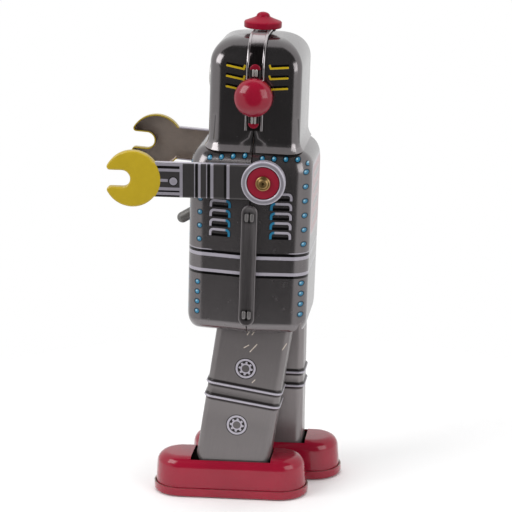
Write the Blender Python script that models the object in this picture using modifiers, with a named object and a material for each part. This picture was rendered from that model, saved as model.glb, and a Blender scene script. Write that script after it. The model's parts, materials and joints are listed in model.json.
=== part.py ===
"""Clockwork walking tin robot, about 197 mm tall.

It faces -Y with its left side towards +X. Lengths are metres, written as millimetres times MM.
The trunk leans back on its legs, so its pieces are modelled square in a frame of their own:
x across, u to the rear and w up, with the hip axle at the origin. Each moving piece has a
frame on its joint's axis in the same way.
"""
import math

import bmesh
import bpy
from mathutils import Matrix, Vector

MM = 0.001

# Stock and clearances
TIN = 0.5 * MM
GAP = 0.3 * MM
PLATE = 1.0 * MM
ROUND_STEPS = 16

# Stance, as the toy stands in mid stride
HIP_Y = 5.0 * MM
HIP_Z = 91.0 * MM
ANKLE_Z = 12.0 * MM
LEAN = math.radians(1.8)
LEG_TILT = {"left": math.radians(9.1), "right": math.radians(0.8)}
ARM_LIFT = {"left": math.radians(-1.4), "right": math.radians(2.7)}
SIDES = {"left": 1, "right": -1}

# Trunk shells
SEAM_U = -5.03 * MM
BODY_HALF_WIDTH = 26.0 * MM
BODY_FRONT_DEPTH = 25.1 * MM
BODY_REAR_DEPTH = 23.4 * MM
BODY_BOTTOM = -20.7 * MM
BODY_TOP = 54.0 * MM
BODY_DRAFT = math.radians(8.0)
BODY_DEPTH_SLOPE = math.radians(0.35)
BODY_SIDE_FILLET = 6.5 * MM
BODY_TOP_FILLET = 7.5 * MM
BODY_BOTTOM_FILLET = 4.5 * MM
SHOULDER_CORNER = 12.0 * MM
BOTTOM_CORNER = 5.0 * MM
NECK_HOLE_RADIUS = 8.0 * MM

# Strip over each body seam
STRIP_WIDTH = 6.4 * MM
STRIP_THICKNESS = 0.9 * MM
STRIP_LOW = -16.9 * MM
STRIP_HIGH = 32.6 * MM

# Head shells
HEAD_HALF_WIDTH = 21.0 * MM
HEAD_FRONT_DEPTH = 18.5 * MM
HEAD_REAR_DEPTH = 18.0 * MM
HEAD_HEIGHT = 42.9 * MM
HEAD_CORNER = 6.0 * MM
HEAD_FRONT_FILLET = 9.5 * MM
HEAD_REAR_FILLET = 11.0 * MM
HEAD_SIDE_FILLET = 12.0 * MM
HEAD_CROWN = 0.7 * MM
NECK_FLARE = 0.8 * MM
NECK_FLARE_HEIGHT = 3.0 * MM
NECK_CUP_HEIGHT = 4.5 * MM

# Band over the head, with the ears and the crown cap that it carries
BAND_WIDTH = 7.2 * MM
BAND_LIP = 0.9 * MM
BAND_FLOOR = 0.5 * MM
BAND_RECESS = 5.2 * MM
BAND_LOW = 61.5 * MM
EAR_HEIGHT = 75.2 * MM
EAR_BAR_WIDTH = 4.3 * MM
EAR_BAR_LENGTH = 25.4 * MM
EAR_BAR_THICKNESS = 0.8 * MM
EAR_RADIUS = 7.55 * MM
EAR_RIM = 2.6 * MM
EAR_DOME = 7.4 * MM
CAP_RADIUS = 7.5 * MM
CAP_STEM_RADIUS = 2.3 * MM
CAP_STEM = 0.6 * MM
CAP_RIM = 2.8 * MM
CAP_CONE = 1.7 * MM
CAP_KNOB_RADIUS = 2.8 * MM
CAP_KNOB = 1.8 * MM

# Arms
SHOULDER_U = 0.45 * MM
SHOULDER_W = 42.7 * MM
ARM_FACE = 31.0 * MM
ARM_DEPTH = 3.4 * MM
ARM_WIDTH = 13.8 * MM
ARM_REACH = 52.0 * MM
SHOULDER_RADIUS = 8.6 * MM
SHOULDER_RING = 1.7 * MM
SHOULDER_RING_HEIGHT = 0.6 * MM
CLAW_RADIUS = 11.2 * MM
CLAW_GAP = 6.7 * MM
CLAW_GAP_START = 0.7 * MM
CLAW_TIP = 1.3 * MM
RIVET_SHANK = 1.5 * MM
RIVET_HEAD = 2.95 * MM
RIVET_HEIGHT = 1.1 * MM
BUSH_RADIUS = 3.2 * MM

# Legs
LEG_WIDTH = 16.0 * MM
LEG_DEPTH = 30.0 * MM
LEG_FILLET = 3.0 * MM
LEG_TOP = -12.0 * MM
LEG_ROUND_START = -68.5 * MM
LEG_ROUND_END = math.radians(66.0)
BEADS = (-45.1 * MM, -50.9 * MM)
BEAD_WIDTH = 2.3 * MM
BEAD_HEIGHT = 0.7 * MM
ANKLE_PIN = 1.2 * MM
ANKLE_PLAY = 0.6 * MM
ANKLE_LUG = 0.8 * MM
LEG_STUD = 1.5 * MM
LEG_STUDS = (-25.0 * MM, -58.0 * MM)
LEVER_WIDTH = 7.0 * MM

# Feet
FOOT_LENGTH = 63.7 * MM
FOOT_WIDTH = 24.0 * MM
FOOT_TOP = 16.2 * MM
FOOT_FILLET = 4.3 * MM
FOOT_DRAFT = math.radians(4.0)
FOOT_OFFSET = -0.9 * MM
TRAY_WALL = 4.0 * MM
TRAY_ROUND = 1.2 * MM
SLOT_LENGTH = 32.8 * MM
SLOT_CLEARANCE = 1.0 * MM
SLOT_CORNER = 0.4 * MM
ROLLER_RADIUS = 4.0 * MM
ROLLER_WIDTH = 8.0 * MM
ROLLER_AXLE = 0.9 * MM
ROLLER_LIFT = 0.2 * MM
ROLLER_SPACING = 42.0 * MM

# Clockwork
MODULE = 0.75 * MM
PRESSURE = math.radians(25.0)
ADDENDUM = 0.8
DEDENDUM = 1.2
BACKLASH = 0.14 * MM
GREAT_TEETH = 36
SECOND_TEETH = 30
PINION_TEETH = 12
GOVERNOR_TEETH = 10
STAR_TEETH = 12
STAR_RADIUS = 5.0 * MM
WHEEL = 1.4 * MM
PINION_WIDTH = 2.0 * MM
ARBOR = 1.0 * MM
HIP_AXLE = 1.5 * MM
WINDING_ARBOR = 2.0 * MM
RATCHET_TEETH = 12
RATCHET_RADIUS = 5.2 * MM
PILLAR = 1.6 * MM
FRAME_HALF_WIDTH = 9.0 * MM
CRANK_SPACE = 4.0 * MM
LEG_X = FRAME_HALF_WIDTH + CRANK_SPACE
FRAME_FRONT = -24.0 * MM
FRAME_REAR = 17.0 * MM
FRAME_LOW = -5.0 * MM
FRAME_HIGH = 46.0 * MM
FRAME_CORNER = 4.0 * MM
FRAME_LUG = 8.0 * MM
REAR_LUG_W = 26.0 * MM
FRONT_LUG_W = 4.0 * MM
LOWER_PILLAR_U = 13.0 * MM
LOWER_PILLAR_W = 6.0 * MM
UPPER_PILLAR_U = 13.5 * MM
UPPER_PILLAR_W = 41.5 * MM
WINDING_U = -12.0 * MM
WINDING_W = 15.0 * MM
WINDING_AXIS = Vector((WINDING_U, WINDING_W))
CRANK_U = 8.5 * MM
CRANK_W = 17.0 * MM
CRANK_AXIS = Vector((CRANK_U, CRANK_W))
SPRING_WIDTH = 6.0 * MM
SPRING_TURNS = 4.5
SPRING_RADIUS = 11.3 * MM
SPRING_POST_REACH = 16.2 * MM
SPRING_POST_TURN = math.radians(240.0)
CRANK_DISC = 3.6 * MM
STRIDE = math.radians(5.05)
KEY_LENGTH = 27.0 * MM
KEY_WIDTH = 12.6 * MM
KEY_BOSS = 3.2 * MM

# Start and stop lever
LEVER_U = -22.0 * MM
LEVER_W = 28.2 * MM
LEVER_PIVOT = Vector((LEVER_U, LEVER_W))
LEVER_ROD = 2.25 * MM
LEVER_REACH = 18.1 * MM
LEVER_SLOPE = math.radians(32.0)
LEVER_TRAVEL = math.radians(18.0)

# Where the wheels stand between the frame plates, by their middles
GREAT_X = -7.5 * MM
RATCHET_X = -6.0 * MM
SPRING_X = -1.6 * MM
SECOND_X = 3.6 * MM
STAR_X = 6.2 * MM

PAINTS = {
    "gunmetal": ((0.19, 0.165, 0.155), 0.32, 0.85),
    "leg_grey": ((0.24, 0.22, 0.215), 0.38, 0.85),
    "red": ((0.55, 0.01, 0.035), 0.22, 0.0),
    "yellow": ((0.48, 0.31, 0.02), 0.35, 0.0),
    "brass": ((0.60, 0.42, 0.16), 0.35, 1.0),
    "bright_tin": ((0.62, 0.60, 0.58), 0.25, 1.0),
    "steel": ((0.45, 0.45, 0.46), 0.38, 1.0),
    "spring_steel": ((0.16, 0.18, 0.24), 0.35, 1.0),
    "grey_enamel": ((0.16, 0.155, 0.15), 0.6, 0.0),
}


# ---------------------------------------------------------------- scene and frames

def clear_scene():
    for thing in list(bpy.data.objects):
        bpy.data.objects.remove(thing, do_unlink=True)


def new_collection(name):
    collection = bpy.data.collections.new(name)
    bpy.context.scene.collection.children.link(collection)
    return collection


def paint(name):
    """The named finish, made once."""
    found = bpy.data.materials.get(name)
    if found:
        return found
    colour, roughness, metallic = PAINTS[name]
    made = bpy.data.materials.new(name)
    made.use_nodes = True
    shader = made.node_tree.nodes["Principled BSDF"]
    shader.inputs["Base Color"].default_value = (*colour, 1.0)
    shader.inputs["Roughness"].default_value = roughness
    shader.inputs["Metallic"].default_value = metallic
    made.diffuse_color = (*colour, 1.0)
    return made


def frame(name, parent=None, place=(0, 0, 0), turn=0.0):
    """An empty at a place in its parent's frame, turned about x."""
    empty = bpy.data.objects.new(name, None)
    TOY.objects.link(empty)
    empty.parent = parent
    empty.location = place
    empty.rotation_euler = (turn, 0, 0)
    return empty


def solid(name, shape, parent, finish):
    """A finished shape as a named piece in its body's frame."""
    mesh = bpy.data.meshes.new(name)
    shape.to_mesh(mesh)
    shape.free()
    mesh.shade_smooth()
    mesh.set_sharp_from_angle(angle=math.radians(35))
    piece = bpy.data.objects.new(name, mesh)
    piece.parent = parent
    mesh.materials.append(paint(finish))
    TOY.objects.link(piece)
    return piece


# ---------------------------------------------------------------- shapes

def as_shape(thing):
    """The evaluated mesh of a working object, welded, and the object thrown away."""
    bpy.context.view_layer.update()
    graph = bpy.context.evaluated_depsgraph_get()
    mesh = bpy.data.meshes.new_from_object(thing.evaluated_get(graph))
    shape = bmesh.new()
    shape.from_mesh(mesh)
    bpy.data.meshes.remove(mesh)
    bpy.data.objects.remove(thing, do_unlink=True)
    bmesh.ops.remove_doubles(shape, verts=shape.verts, dist=0.001 * MM)
    return shape


def working_object(data):
    thing = bpy.data.objects.new("work", data)
    bpy.context.scene.collection.objects.link(thing)
    return thing


def shape_object(shape):
    mesh = bpy.data.meshes.new("work")
    shape.to_mesh(mesh)
    shape.free()
    return working_object(mesh)


def modified(shape, kind, **settings):
    """A shape passed through one modifier."""
    thing = shape_object(shape)
    modifier = thing.modifiers.new("step", kind)
    for key, value in settings.items():
        setattr(modifier, key, value)
    return as_shape(thing)


def combined(shape, tool, operation):
    """One shape joined to another, or cut by it."""
    cutter = shape_object(tool)
    result = modified(shape, "BOOLEAN", object=cutter, operation=operation, solver="EXACT")
    bpy.data.objects.remove(cutter, do_unlink=True)
    return result


def joined(shape, *others):
    for other in others:
        shape = combined(shape, other, "UNION")
    return shape


def cut(shape, *tools):
    for tool in tools:
        shape = combined(shape, tool, "DIFFERENCE")
    return shape


def thickened(surface, wall=TIN):
    """A drawn sheet: the wall grows inwards from the outer surface."""
    return modified(surface, "SOLIDIFY", thickness=wall, offset=-1.0, use_even_offset=True)


def bevelled(shape, width, segments=2):
    return modified(shape, "BEVEL", width=width, segments=segments, limit_method="ANGLE",
                    angle_limit=math.radians(50), use_clamp_overlap=True)


def moved(shape, x=0.0, y=0.0, z=0.0):
    bmesh.ops.translate(shape, vec=(x, y, z), verts=shape.verts)
    return shape


def mirrored(shape, side):
    """The shape itself for the left side, its mirror image for the right."""
    if side < 0:
        bmesh.ops.scale(shape, vec=(-1, 1, 1), verts=shape.verts)
        bmesh.ops.reverse_faces(shape, faces=shape.faces)
    return shape


def box(low, high):
    size = [b - a for a, b in zip(low, high)]
    middle = [(a + b) / 2 for a, b in zip(low, high)]
    shape = bmesh.new()
    bmesh.ops.create_cube(shape, size=1.0)
    bmesh.ops.scale(shape, vec=size, verts=shape.verts)
    return moved(shape, *middle)


def arc(centre, radius, start, end, steps):
    """Points along an arc from one angle to another, both ends included."""
    turns = [start + (end - start) * k / steps for k in range(steps + 1)]
    return [(centre[0] + radius * math.cos(t), centre[1] + radius * math.sin(t)) for t in turns]


def circle(radius, centre=(0.0, 0.0), steps=ROUND_STEPS, phase=0.0):
    return arc(centre, radius, phase, phase + 2 * math.pi, steps)[:-1]


def stadium(half_length, radius, steps=8, upright=False):
    """A bar outline with round ends, lying along the first axis or the second."""
    reach = half_length - radius
    ends = arc((reach, 0), radius, -math.pi / 2, math.pi / 2, steps)
    ends += arc((-reach, 0), radius, math.pi / 2, 3 * math.pi / 2, steps)
    return [(-b, a) for a, b in ends] if upright else ends


def rounded_rectangle(half, low, high, r_low, r_high, steps=3):
    """Outline from the lower right corner round to the lower left, counterclockwise."""
    quarter = math.pi / 2
    points = arc((half - r_low, low + r_low), r_low, -quarter, 0, steps)
    points += arc((half - r_high, high - r_high), r_high, 0, quarter, steps)
    points += arc((r_high - half, high - r_high), r_high, quarter, 2 * quarter, steps)
    points += arc((r_low - half, low + r_low), r_low, 2 * quarter, 3 * quarter, steps)
    return points


def turned_points(points, angle):
    """Points of the side plane turned so that their first axis swings to the second."""
    c, s = math.cos(angle), math.sin(angle)
    return [(a * c - b * s, a * s + b * c) for a, b in points]


def shifted(points, centre):
    return [(a + centre[0], b + centre[1]) for a, b in points]


def prism(outline, low, high, holes=()):
    """A flat outline of the side plane, solid from x = low to x = high."""
    curve = bpy.data.curves.new("outline", "CURVE")
    curve.dimensions = "2D"
    curve.fill_mode = "BOTH"
    curve.extrude = (high - low) / 2
    for points in (outline, *holes):
        spline = curve.splines.new("POLY")
        spline.points.add(len(points) - 1)
        for knot, (a, b) in zip(spline.points, points):
            knot.co = (a, b, 0, 1)
        spline.use_cyclic_u = True
    shape = as_shape(working_object(curve))
    bpy.data.curves.remove(curve)
    stand = Matrix(((0, 0, 1, (low + high) / 2), (1, 0, 0, 0), (0, 1, 0, 0), (0, 0, 0, 1)))
    bmesh.ops.transform(shape, matrix=stand, verts=shape.verts)
    bmesh.ops.recalc_face_normals(shape, faces=shape.faces)
    return shape


def rod(radius, low, high, centre=(0.0, 0.0), steps=ROUND_STEPS):
    return prism(circle(radius, centre, steps), low, high)


def turned(profile, along=(1, 0, 0), at=(0, 0, 0), steps=20, ring=False):
    """A (radius, height) profile, read from the top down, turned about an axis."""
    mesh = bpy.data.meshes.new("profile")
    count = len(profile)
    edges = [(k, k + 1) for k in range(count - 1)]
    if ring:
        edges.append((count - 1, 0))
    mesh.from_pydata([(r, 0, h) for r, h in profile], edges, [])
    thing = working_object(mesh)
    screw = thing.modifiers.new("turn", "SCREW")
    screw.steps = steps
    screw.render_steps = steps
    screw.use_merge_vertices = True
    screw.merge_threshold = 0.001 * MM
    shape = as_shape(thing)
    aim = Vector(along).to_track_quat("Z", "Y").to_matrix().to_4x4()
    bmesh.ops.transform(shape, matrix=Matrix.Translation(at) @ aim, verts=shape.verts)
    bmesh.ops.recalc_face_normals(shape, faces=shape.faces)
    return shape


def loft(rings, closed=True, cap_first=False, cap_last=False, flip=False):
    """A skin over rings of points that all have the same count."""
    shape = bmesh.new()
    rows = [[shape.verts.new(point) for point in ring] for ring in rings]
    count = len(rows[0])
    for lower, upper in zip(rows, rows[1:]):
        for k in range(count if closed else count - 1):
            n = (k + 1) % count
            shape.faces.new((lower[k], lower[n], upper[n], upper[k]))
    if cap_first:
        shape.faces.new(reversed(rows[0]))
    if cap_last:
        shape.faces.new(rows[-1])
    if flip:
        bmesh.ops.reverse_faces(shape, faces=shape.faces)
    return shape


def fillet_inset(depth, full, radius):
    """How far a rounded edge has drawn in at a depth, where the form ends at full."""
    into = depth - (full - radius)
    return radius - math.sqrt(max(0.0, radius ** 2 - into ** 2)) if into > 0 else 0.0


def fillet_depths(full, radius, steps):
    """Depths that step evenly round a rounded edge."""
    return [full - radius + radius * math.sin(math.pi / 2 * k / steps) for k in range(steps + 1)]


# ---------------------------------------------------------------- trunk

def body_depth(full, w):
    """Depth of a body shell at a height: the body grows deeper upwards."""
    middle = (BODY_BOTTOM + BODY_TOP) / 2
    return full + (w - middle) * math.tan(BODY_DEPTH_SLOPE)


def body_half_width(depth):
    """Outer half width of the body at a depth from its seam, ahead of the edge fillet."""
    return BODY_HALF_WIDTH - depth * math.tan(BODY_DRAFT)


def body_section(depth, full, direction):
    """One section of the drawn tray: a rounded rectangle that shrinks with its depth."""
    side = fillet_inset(depth, full, BODY_SIDE_FILLET)
    top = fillet_inset(depth, full, BODY_TOP_FILLET)
    bottom = fillet_inset(depth, full, BODY_BOTTOM_FILLET)
    outline = rounded_rectangle(body_half_width(depth) - side, BODY_BOTTOM + bottom,
                                BODY_TOP - top, BOTTOM_CORNER - bottom / 2,
                                SHOULDER_CORNER - top / 2)
    scale = depth / full
    return [(x, SEAM_U + direction * scale * body_depth(full, w), w) for x, w in outline]


def body_shell(full, direction):
    seam = GAP / 2 + TIN * math.sin(BODY_DRAFT)
    depths = [seam, *fillet_depths(full, BODY_TOP_FILLET, 4)]
    rings = [body_section(depth, full, direction) for depth in depths]
    return thickened(loft(rings, cap_last=True, flip=direction > 0))


def leg_opening():
    """Cutter for the hole under the trunk that both legs swing in."""
    reach = LEG_DEPTH / 2 + SLOT_CLEARANCE
    half = LEG_X + LEG_WIDTH / 2 + 2 * GAP
    swing = -BODY_BOTTOM * math.tan(2 * STRIDE - LEAN)
    low = BODY_BOTTOM - PLATE
    return box((-half, -reach - swing, low), (half, reach + 2 * GAP, BODY_BOTTOM + BOTTOM_CORNER))


def make_trunk(trunk):
    neck = [turned([(0, BODY_TOP + TIN), (NECK_HOLE_RADIUS, BODY_TOP + TIN),
                    (NECK_HOLE_RADIUS, BODY_TOP - 2 * TIN), (0, BODY_TOP - 2 * TIN)],
                   along=(0, 0, 1), at=(0, SEAM_U, 0)) for _ in range(2)]
    wall = BODY_HALF_WIDTH + PLATE
    key_hole = rod(WINDING_ARBOR + 2 * GAP, -wall, -wall / 2, WINDING_AXIS)
    face = SEAM_U - BODY_FRONT_DEPTH
    slot_low, slot_high = lever_slot_span(face)
    slot = box((-LEVER_ROD - GAP, face - PLATE, slot_low), (LEVER_ROD + GAP, face + 3 * TIN, slot_high))
    shoulders = [rod(RIVET_SHANK + GAP, wall / 2 * s, wall * s, (SHOULDER_U, SHOULDER_W))
                 if s > 0 else rod(RIVET_SHANK + GAP, wall * s, wall / 2 * s, (SHOULDER_U, SHOULDER_W))
                 for s in SIDES.values()]
    front = cut(body_shell(BODY_FRONT_DEPTH, -1), leg_opening(), neck[0], key_hole, slot)
    rear = cut(body_shell(BODY_REAR_DEPTH, 1), leg_opening(), neck[1], *shoulders)
    solid("body_front_shell", front, trunk, "gunmetal")
    solid("body_rear_shell", rear, trunk, "gunmetal")
    for name, side in SIDES.items():
        low = BODY_HALF_WIDTH + GAP
        outline = stadium((STRIP_HIGH - STRIP_LOW) / 2, STRIP_WIDTH / 2, steps=6, upright=True)
        outline = shifted(outline, (SEAM_U, (STRIP_HIGH + STRIP_LOW) / 2))
        strip = bevelled(prism(outline, low, low + STRIP_THICKNESS), STRIP_THICKNESS / 3, 1)
        solid(f"{name}_seam_strip", mirrored(strip, side), trunk, "gunmetal")


# ---------------------------------------------------------------- head

HEAD_LOW = BODY_TOP + GAP
HEAD_TOP = HEAD_LOW + HEAD_HEIGHT


def head_section(rise):
    """Plan section of the head at a rise above its lower edge."""
    side = fillet_inset(rise, HEAD_HEIGHT, HEAD_SIDE_FILLET)
    front = HEAD_FRONT_DEPTH - fillet_inset(rise, HEAD_HEIGHT, HEAD_FRONT_FILLET)
    rear = HEAD_REAR_DEPTH - fillet_inset(rise, HEAD_HEIGHT, HEAD_REAR_FILLET)
    spread = NECK_FLARE * max(0.0, 1 - rise / NECK_FLARE_HEIGHT) ** 2
    outline = rounded_rectangle(HEAD_HALF_WIDTH - side + spread, -front - spread, rear + spread,
                                HEAD_CORNER + spread, HEAD_CORNER + spread)
    return [(x, SEAM_U + u, HEAD_LOW + rise) for x, u in outline]


def make_head(trunk):
    flare = [NECK_FLARE_HEIGHT * k / 2 for k in range(3)]
    rises = flare + fillet_depths(HEAD_HEIGHT, HEAD_SIDE_FILLET, 5)
    rings = [head_section(rise) for rise in rises]
    middle = Vector((0, SEAM_U, HEAD_TOP + HEAD_CROWN))
    rings.append([middle.lerp(Vector(point), 0.5) - Vector((0, 0, HEAD_CROWN / 8))
                  for point in rings[-1]])
    for name, direction in (("head_front_shell", -1), ("head_rear_shell", 1)):
        skin = loft(rings, cap_last=True)
        edge = Vector((0, SEAM_U + direction * GAP / 2, 0))
        bmesh.ops.bisect_plane(skin, geom=[*skin.verts, *skin.edges, *skin.faces], plane_co=edge,
                               plane_no=(0, -direction, 0), clear_outer=True)
        solid(name, thickened(skin), trunk, "gunmetal")


def make_neck(trunk):
    """Drawn cup on the body's flat top, which the head shells grip round its wall."""
    inset = TIN + GAP
    corner = HEAD_CORNER - inset
    rings = []
    for rise in (0, NECK_CUP_HEIGHT):
        outline = rounded_rectangle(HEAD_HALF_WIDTH - inset, inset - HEAD_FRONT_DEPTH,
                                    HEAD_REAR_DEPTH - inset, corner, corner)
        rings.append([(x, SEAM_U + u, HEAD_LOW + rise) for x, u in outline])
    solid("neck_cup", thickened(loft(rings, cap_first=True)), trunk, "bright_tin")


def band_path():
    """The head's cross-section at the seam, stood off by the gap, from left to right."""
    side = HEAD_HALF_WIDTH + GAP
    radius = HEAD_SIDE_FILLET + GAP
    top = HEAD_TOP + HEAD_CROWN + GAP
    corner = arc((side - radius, top - radius), radius, 0, math.pi / 2, 8)
    half = [(side, BAND_LOW)] + corner
    normals = [(1, 0)] + arc((0, 0), 1, 0, math.pi / 2, 8)
    mirror = [(-x, w) for x, w in reversed(half)]
    return half + mirror, normals + [(-a, b) for a, b in reversed(normals)]


def make_band(trunk):
    half, recess = BAND_WIDTH / 2, BAND_RECESS / 2
    slope = (BAND_LIP - BAND_FLOOR) / 2
    section = [(-half, 0), (half, 0), (half, BAND_LIP), (recess + slope, BAND_LIP),
               (recess, BAND_FLOOR), (-recess, BAND_FLOOR), (-recess - slope, BAND_LIP),
               (-half, BAND_LIP)]
    path, normals = band_path()
    rings = [[(x + nx * rise, SEAM_U + across, w + nw * rise) for across, rise in section]
             for (x, w), (nx, nw) in zip(path, normals)]
    band = loft(rings, cap_first=True, cap_last=True)
    bmesh.ops.recalc_face_normals(band, faces=band.faces)
    solid("head_band", band, trunk, "bright_tin")


def make_ears(trunk):
    seat = HEAD_HALF_WIDTH + GAP + BAND_FLOOR + GAP
    for name, side in SIDES.items():
        outline = stadium(EAR_BAR_LENGTH / 2, EAR_BAR_WIDTH / 2, steps=6, upright=True)
        outline = shifted(outline, (SEAM_U, EAR_HEIGHT))
        bar = bevelled(prism(outline, seat, seat + EAR_BAR_THICKNESS), EAR_BAR_THICKNESS / 4, 1)
        solid(f"{name}_ear_bar", mirrored(bar, side), trunk, "red")
        base = seat + EAR_BAR_THICKNESS + GAP
        crown = [(EAR_RADIUS * math.sin(t), EAR_RIM + (EAR_DOME - EAR_RIM) * math.cos(t))
                 for t in (math.pi / 2 * k / 6 for k in range(7))]
        dome = turned(crown + [(EAR_RADIUS, 0), (0, 0)], at=(base, SEAM_U, EAR_HEIGHT))
        solid(f"{name}_ear_dome", mirrored(dome, side), trunk, "red")


def make_crown_cap(trunk):
    stem_top = CAP_STEM
    rim_top = stem_top + CAP_RIM
    cone_top = rim_top + CAP_CONE
    knob = [(CAP_KNOB_RADIUS * math.sin(t), cone_top + CAP_KNOB * math.cos(t))
            for t in (math.pi / 2 * k / 4 for k in range(5))]
    edge = 0.5 * MM
    profile = knob + [(CAP_RADIUS - edge, rim_top), (CAP_RADIUS, rim_top - edge),
                      (CAP_RADIUS, stem_top + edge / 2), (CAP_RADIUS - edge / 2, stem_top),
                      (CAP_STEM_RADIUS, stem_top), (CAP_STEM_RADIUS, 0), (0, 0)]
    seat = HEAD_TOP + HEAD_CROWN + GAP + BAND_FLOOR + GAP
    solid("crown_cap", turned(profile, along=(0, 0, 1), at=(0, SEAM_U, seat)), trunk, "red")


# ---------------------------------------------------------------- arms

def arm_outline(inset):
    """Shoulder disc, bar and open claw as one line, drawn in by inset; the arm points to -u."""
    bar = ARM_WIDTH / 2 - inset
    shoulder = SHOULDER_RADIUS - inset
    claw = CLAW_RADIUS - inset
    jaw = CLAW_GAP / 2 + inset
    tip = CLAW_TIP - inset
    centre = (-ARM_REACH, 0)
    lean = math.asin(bar / shoulder)
    neck = math.asin(bar / claw)
    tip_w = jaw + tip
    tip_u = -math.sqrt((claw - tip) ** 2 - tip_w ** 2)
    tip_turn = math.atan2(tip_w, tip_u)
    upper = arc(centre, claw, neck, tip_turn, 8)
    upper += arc((centre[0] + tip_u, tip_w), tip, tip_turn, 3 * math.pi / 2, 3)[1:]
    notch_centre = (centre[0] - CLAW_GAP_START - CLAW_GAP / 2, 0)
    notch = arc(notch_centre, jaw, math.pi / 2, -math.pi / 2, 6)
    lower = [(a, -b) for a, b in reversed(upper)]
    disc = arc((0, 0), shoulder, lean - math.pi, math.pi - lean, 12)
    return disc + upper + notch + lower


def make_arms(trunk):
    joints = {}
    for name, side in SIDES.items():
        pivot = frame(f"{name}_shoulder", trunk, (0, SHOULDER_U, SHOULDER_W), -ARM_LIFT[name])
        joints[name] = pivot
        back = ARM_FACE - ARM_DEPTH
        hole = [circle(RIVET_SHANK + GAP)]
        arm = bevelled(prism(arm_outline(0), back, ARM_FACE), TIN, 1)
        arm = cut(arm, prism(arm_outline(TIN), back - PLATE, ARM_FACE - TIN))
        ring_low = ARM_FACE - TIN / 2
        ring = prism(circle(SHOULDER_RADIUS - TIN, steps=20), ring_low,
                     ARM_FACE + SHOULDER_RING_HEIGHT, [circle(SHOULDER_RADIUS - SHOULDER_RING, steps=20)])
        arm = joined(arm, ring)
        arm = cut(arm, prism(hole[0], ARM_FACE - 2 * PLATE, ARM_FACE + PLATE))
        solid(f"{name}_arm", mirrored(arm, side), pivot, "yellow")
        behind = SHOULDER_U - SEAM_U
        shoulder = frame(f"{name}_shoulder_seat", trunk, (0, SHOULDER_U, SHOULDER_W))
        bush_low = body_half_width(behind - BUSH_RADIUS) + GAP
        bush_high = ARM_FACE - TIN - GAP
        bore = RIVET_SHANK + GAP
        bush = turned([(bore, bush_high), (BUSH_RADIUS, bush_high), (BUSH_RADIUS, bush_low),
                       (bore, bush_low)], steps=ROUND_STEPS, ring=True)
        solid(f"{name}_shoulder_bush", mirrored(bush, side), shoulder, "steel")
        head_low = ARM_FACE + GAP
        head_high = head_low + RIVET_HEIGHT
        curl = fillet_inset(SHOULDER_W + 2 * RIVET_SHANK, BODY_TOP, SHOULDER_CORNER)
        tail = body_half_width(behind + 2 * RIVET_SHANK) - curl - TIN - 2 * GAP
        dimple = RIVET_HEAD / 4
        rivet = turned([(0, head_high - dimple), (dimple, head_high), (RIVET_HEAD * 0.75, head_high),
                        (RIVET_HEAD, head_low + RIVET_HEIGHT / 2), (RIVET_HEAD, head_low),
                        (RIVET_SHANK, head_low), (RIVET_SHANK, tail), (2 * RIVET_SHANK, tail),
                        (2 * RIVET_SHANK, tail - TIN), (0, tail - TIN)], steps=20)
        solid(f"{name}_shoulder_rivet", mirrored(rivet, side), shoulder, "brass")
    return joints


# ---------------------------------------------------------------- legs

def leg_half_depth(q):
    """Half the leg's depth at a distance along it: straight, then round like a half disc."""
    below = LEG_ROUND_START - q
    half = LEG_DEPTH / 2
    return math.sqrt(half ** 2 - below ** 2) if below > 0 else half


def ankle_reach(name):
    """Distance along a leg from the hip axle to its ankle pin, with both feet on the floor."""
    return (HIP_Z - ANKLE_Z) / math.cos(LEG_TILT[name])


def leg_stations():
    """(distance along the leg, swell) pairs: the top, both beads and the round foot end."""
    stations = [(LEG_TOP, 0.0)]
    for bead in BEADS:
        for share, swell in ((0.5, 0.0), (0.18, BEAD_HEIGHT), (-0.18, BEAD_HEIGHT), (-0.5, 0.0)):
            stations.append((bead + share * BEAD_WIDTH, swell))
    turns = [LEG_ROUND_END * k / 4 for k in range(5)]
    stations += [(LEG_ROUND_START - LEG_DEPTH / 2 * math.sin(t), 0.0) for t in turns]
    return stations


def leg_section(q, swell):
    """Open C section of a leg's outer half, from its front seam round to its rear seam."""
    half = leg_half_depth(q) + swell
    out = LEG_WIDTH / 2 + swell
    r = LEG_FILLET
    quarter = math.pi / 2
    rear = arc((out - r, half - r), r, 0, quarter, 3)
    front = [(x, -p) for x, p in reversed(rear)]
    points = [(GAP / 2, -half)] + front + rear + [(GAP / 2, half)]
    return [(x, p, q) for x, p in points]


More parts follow.
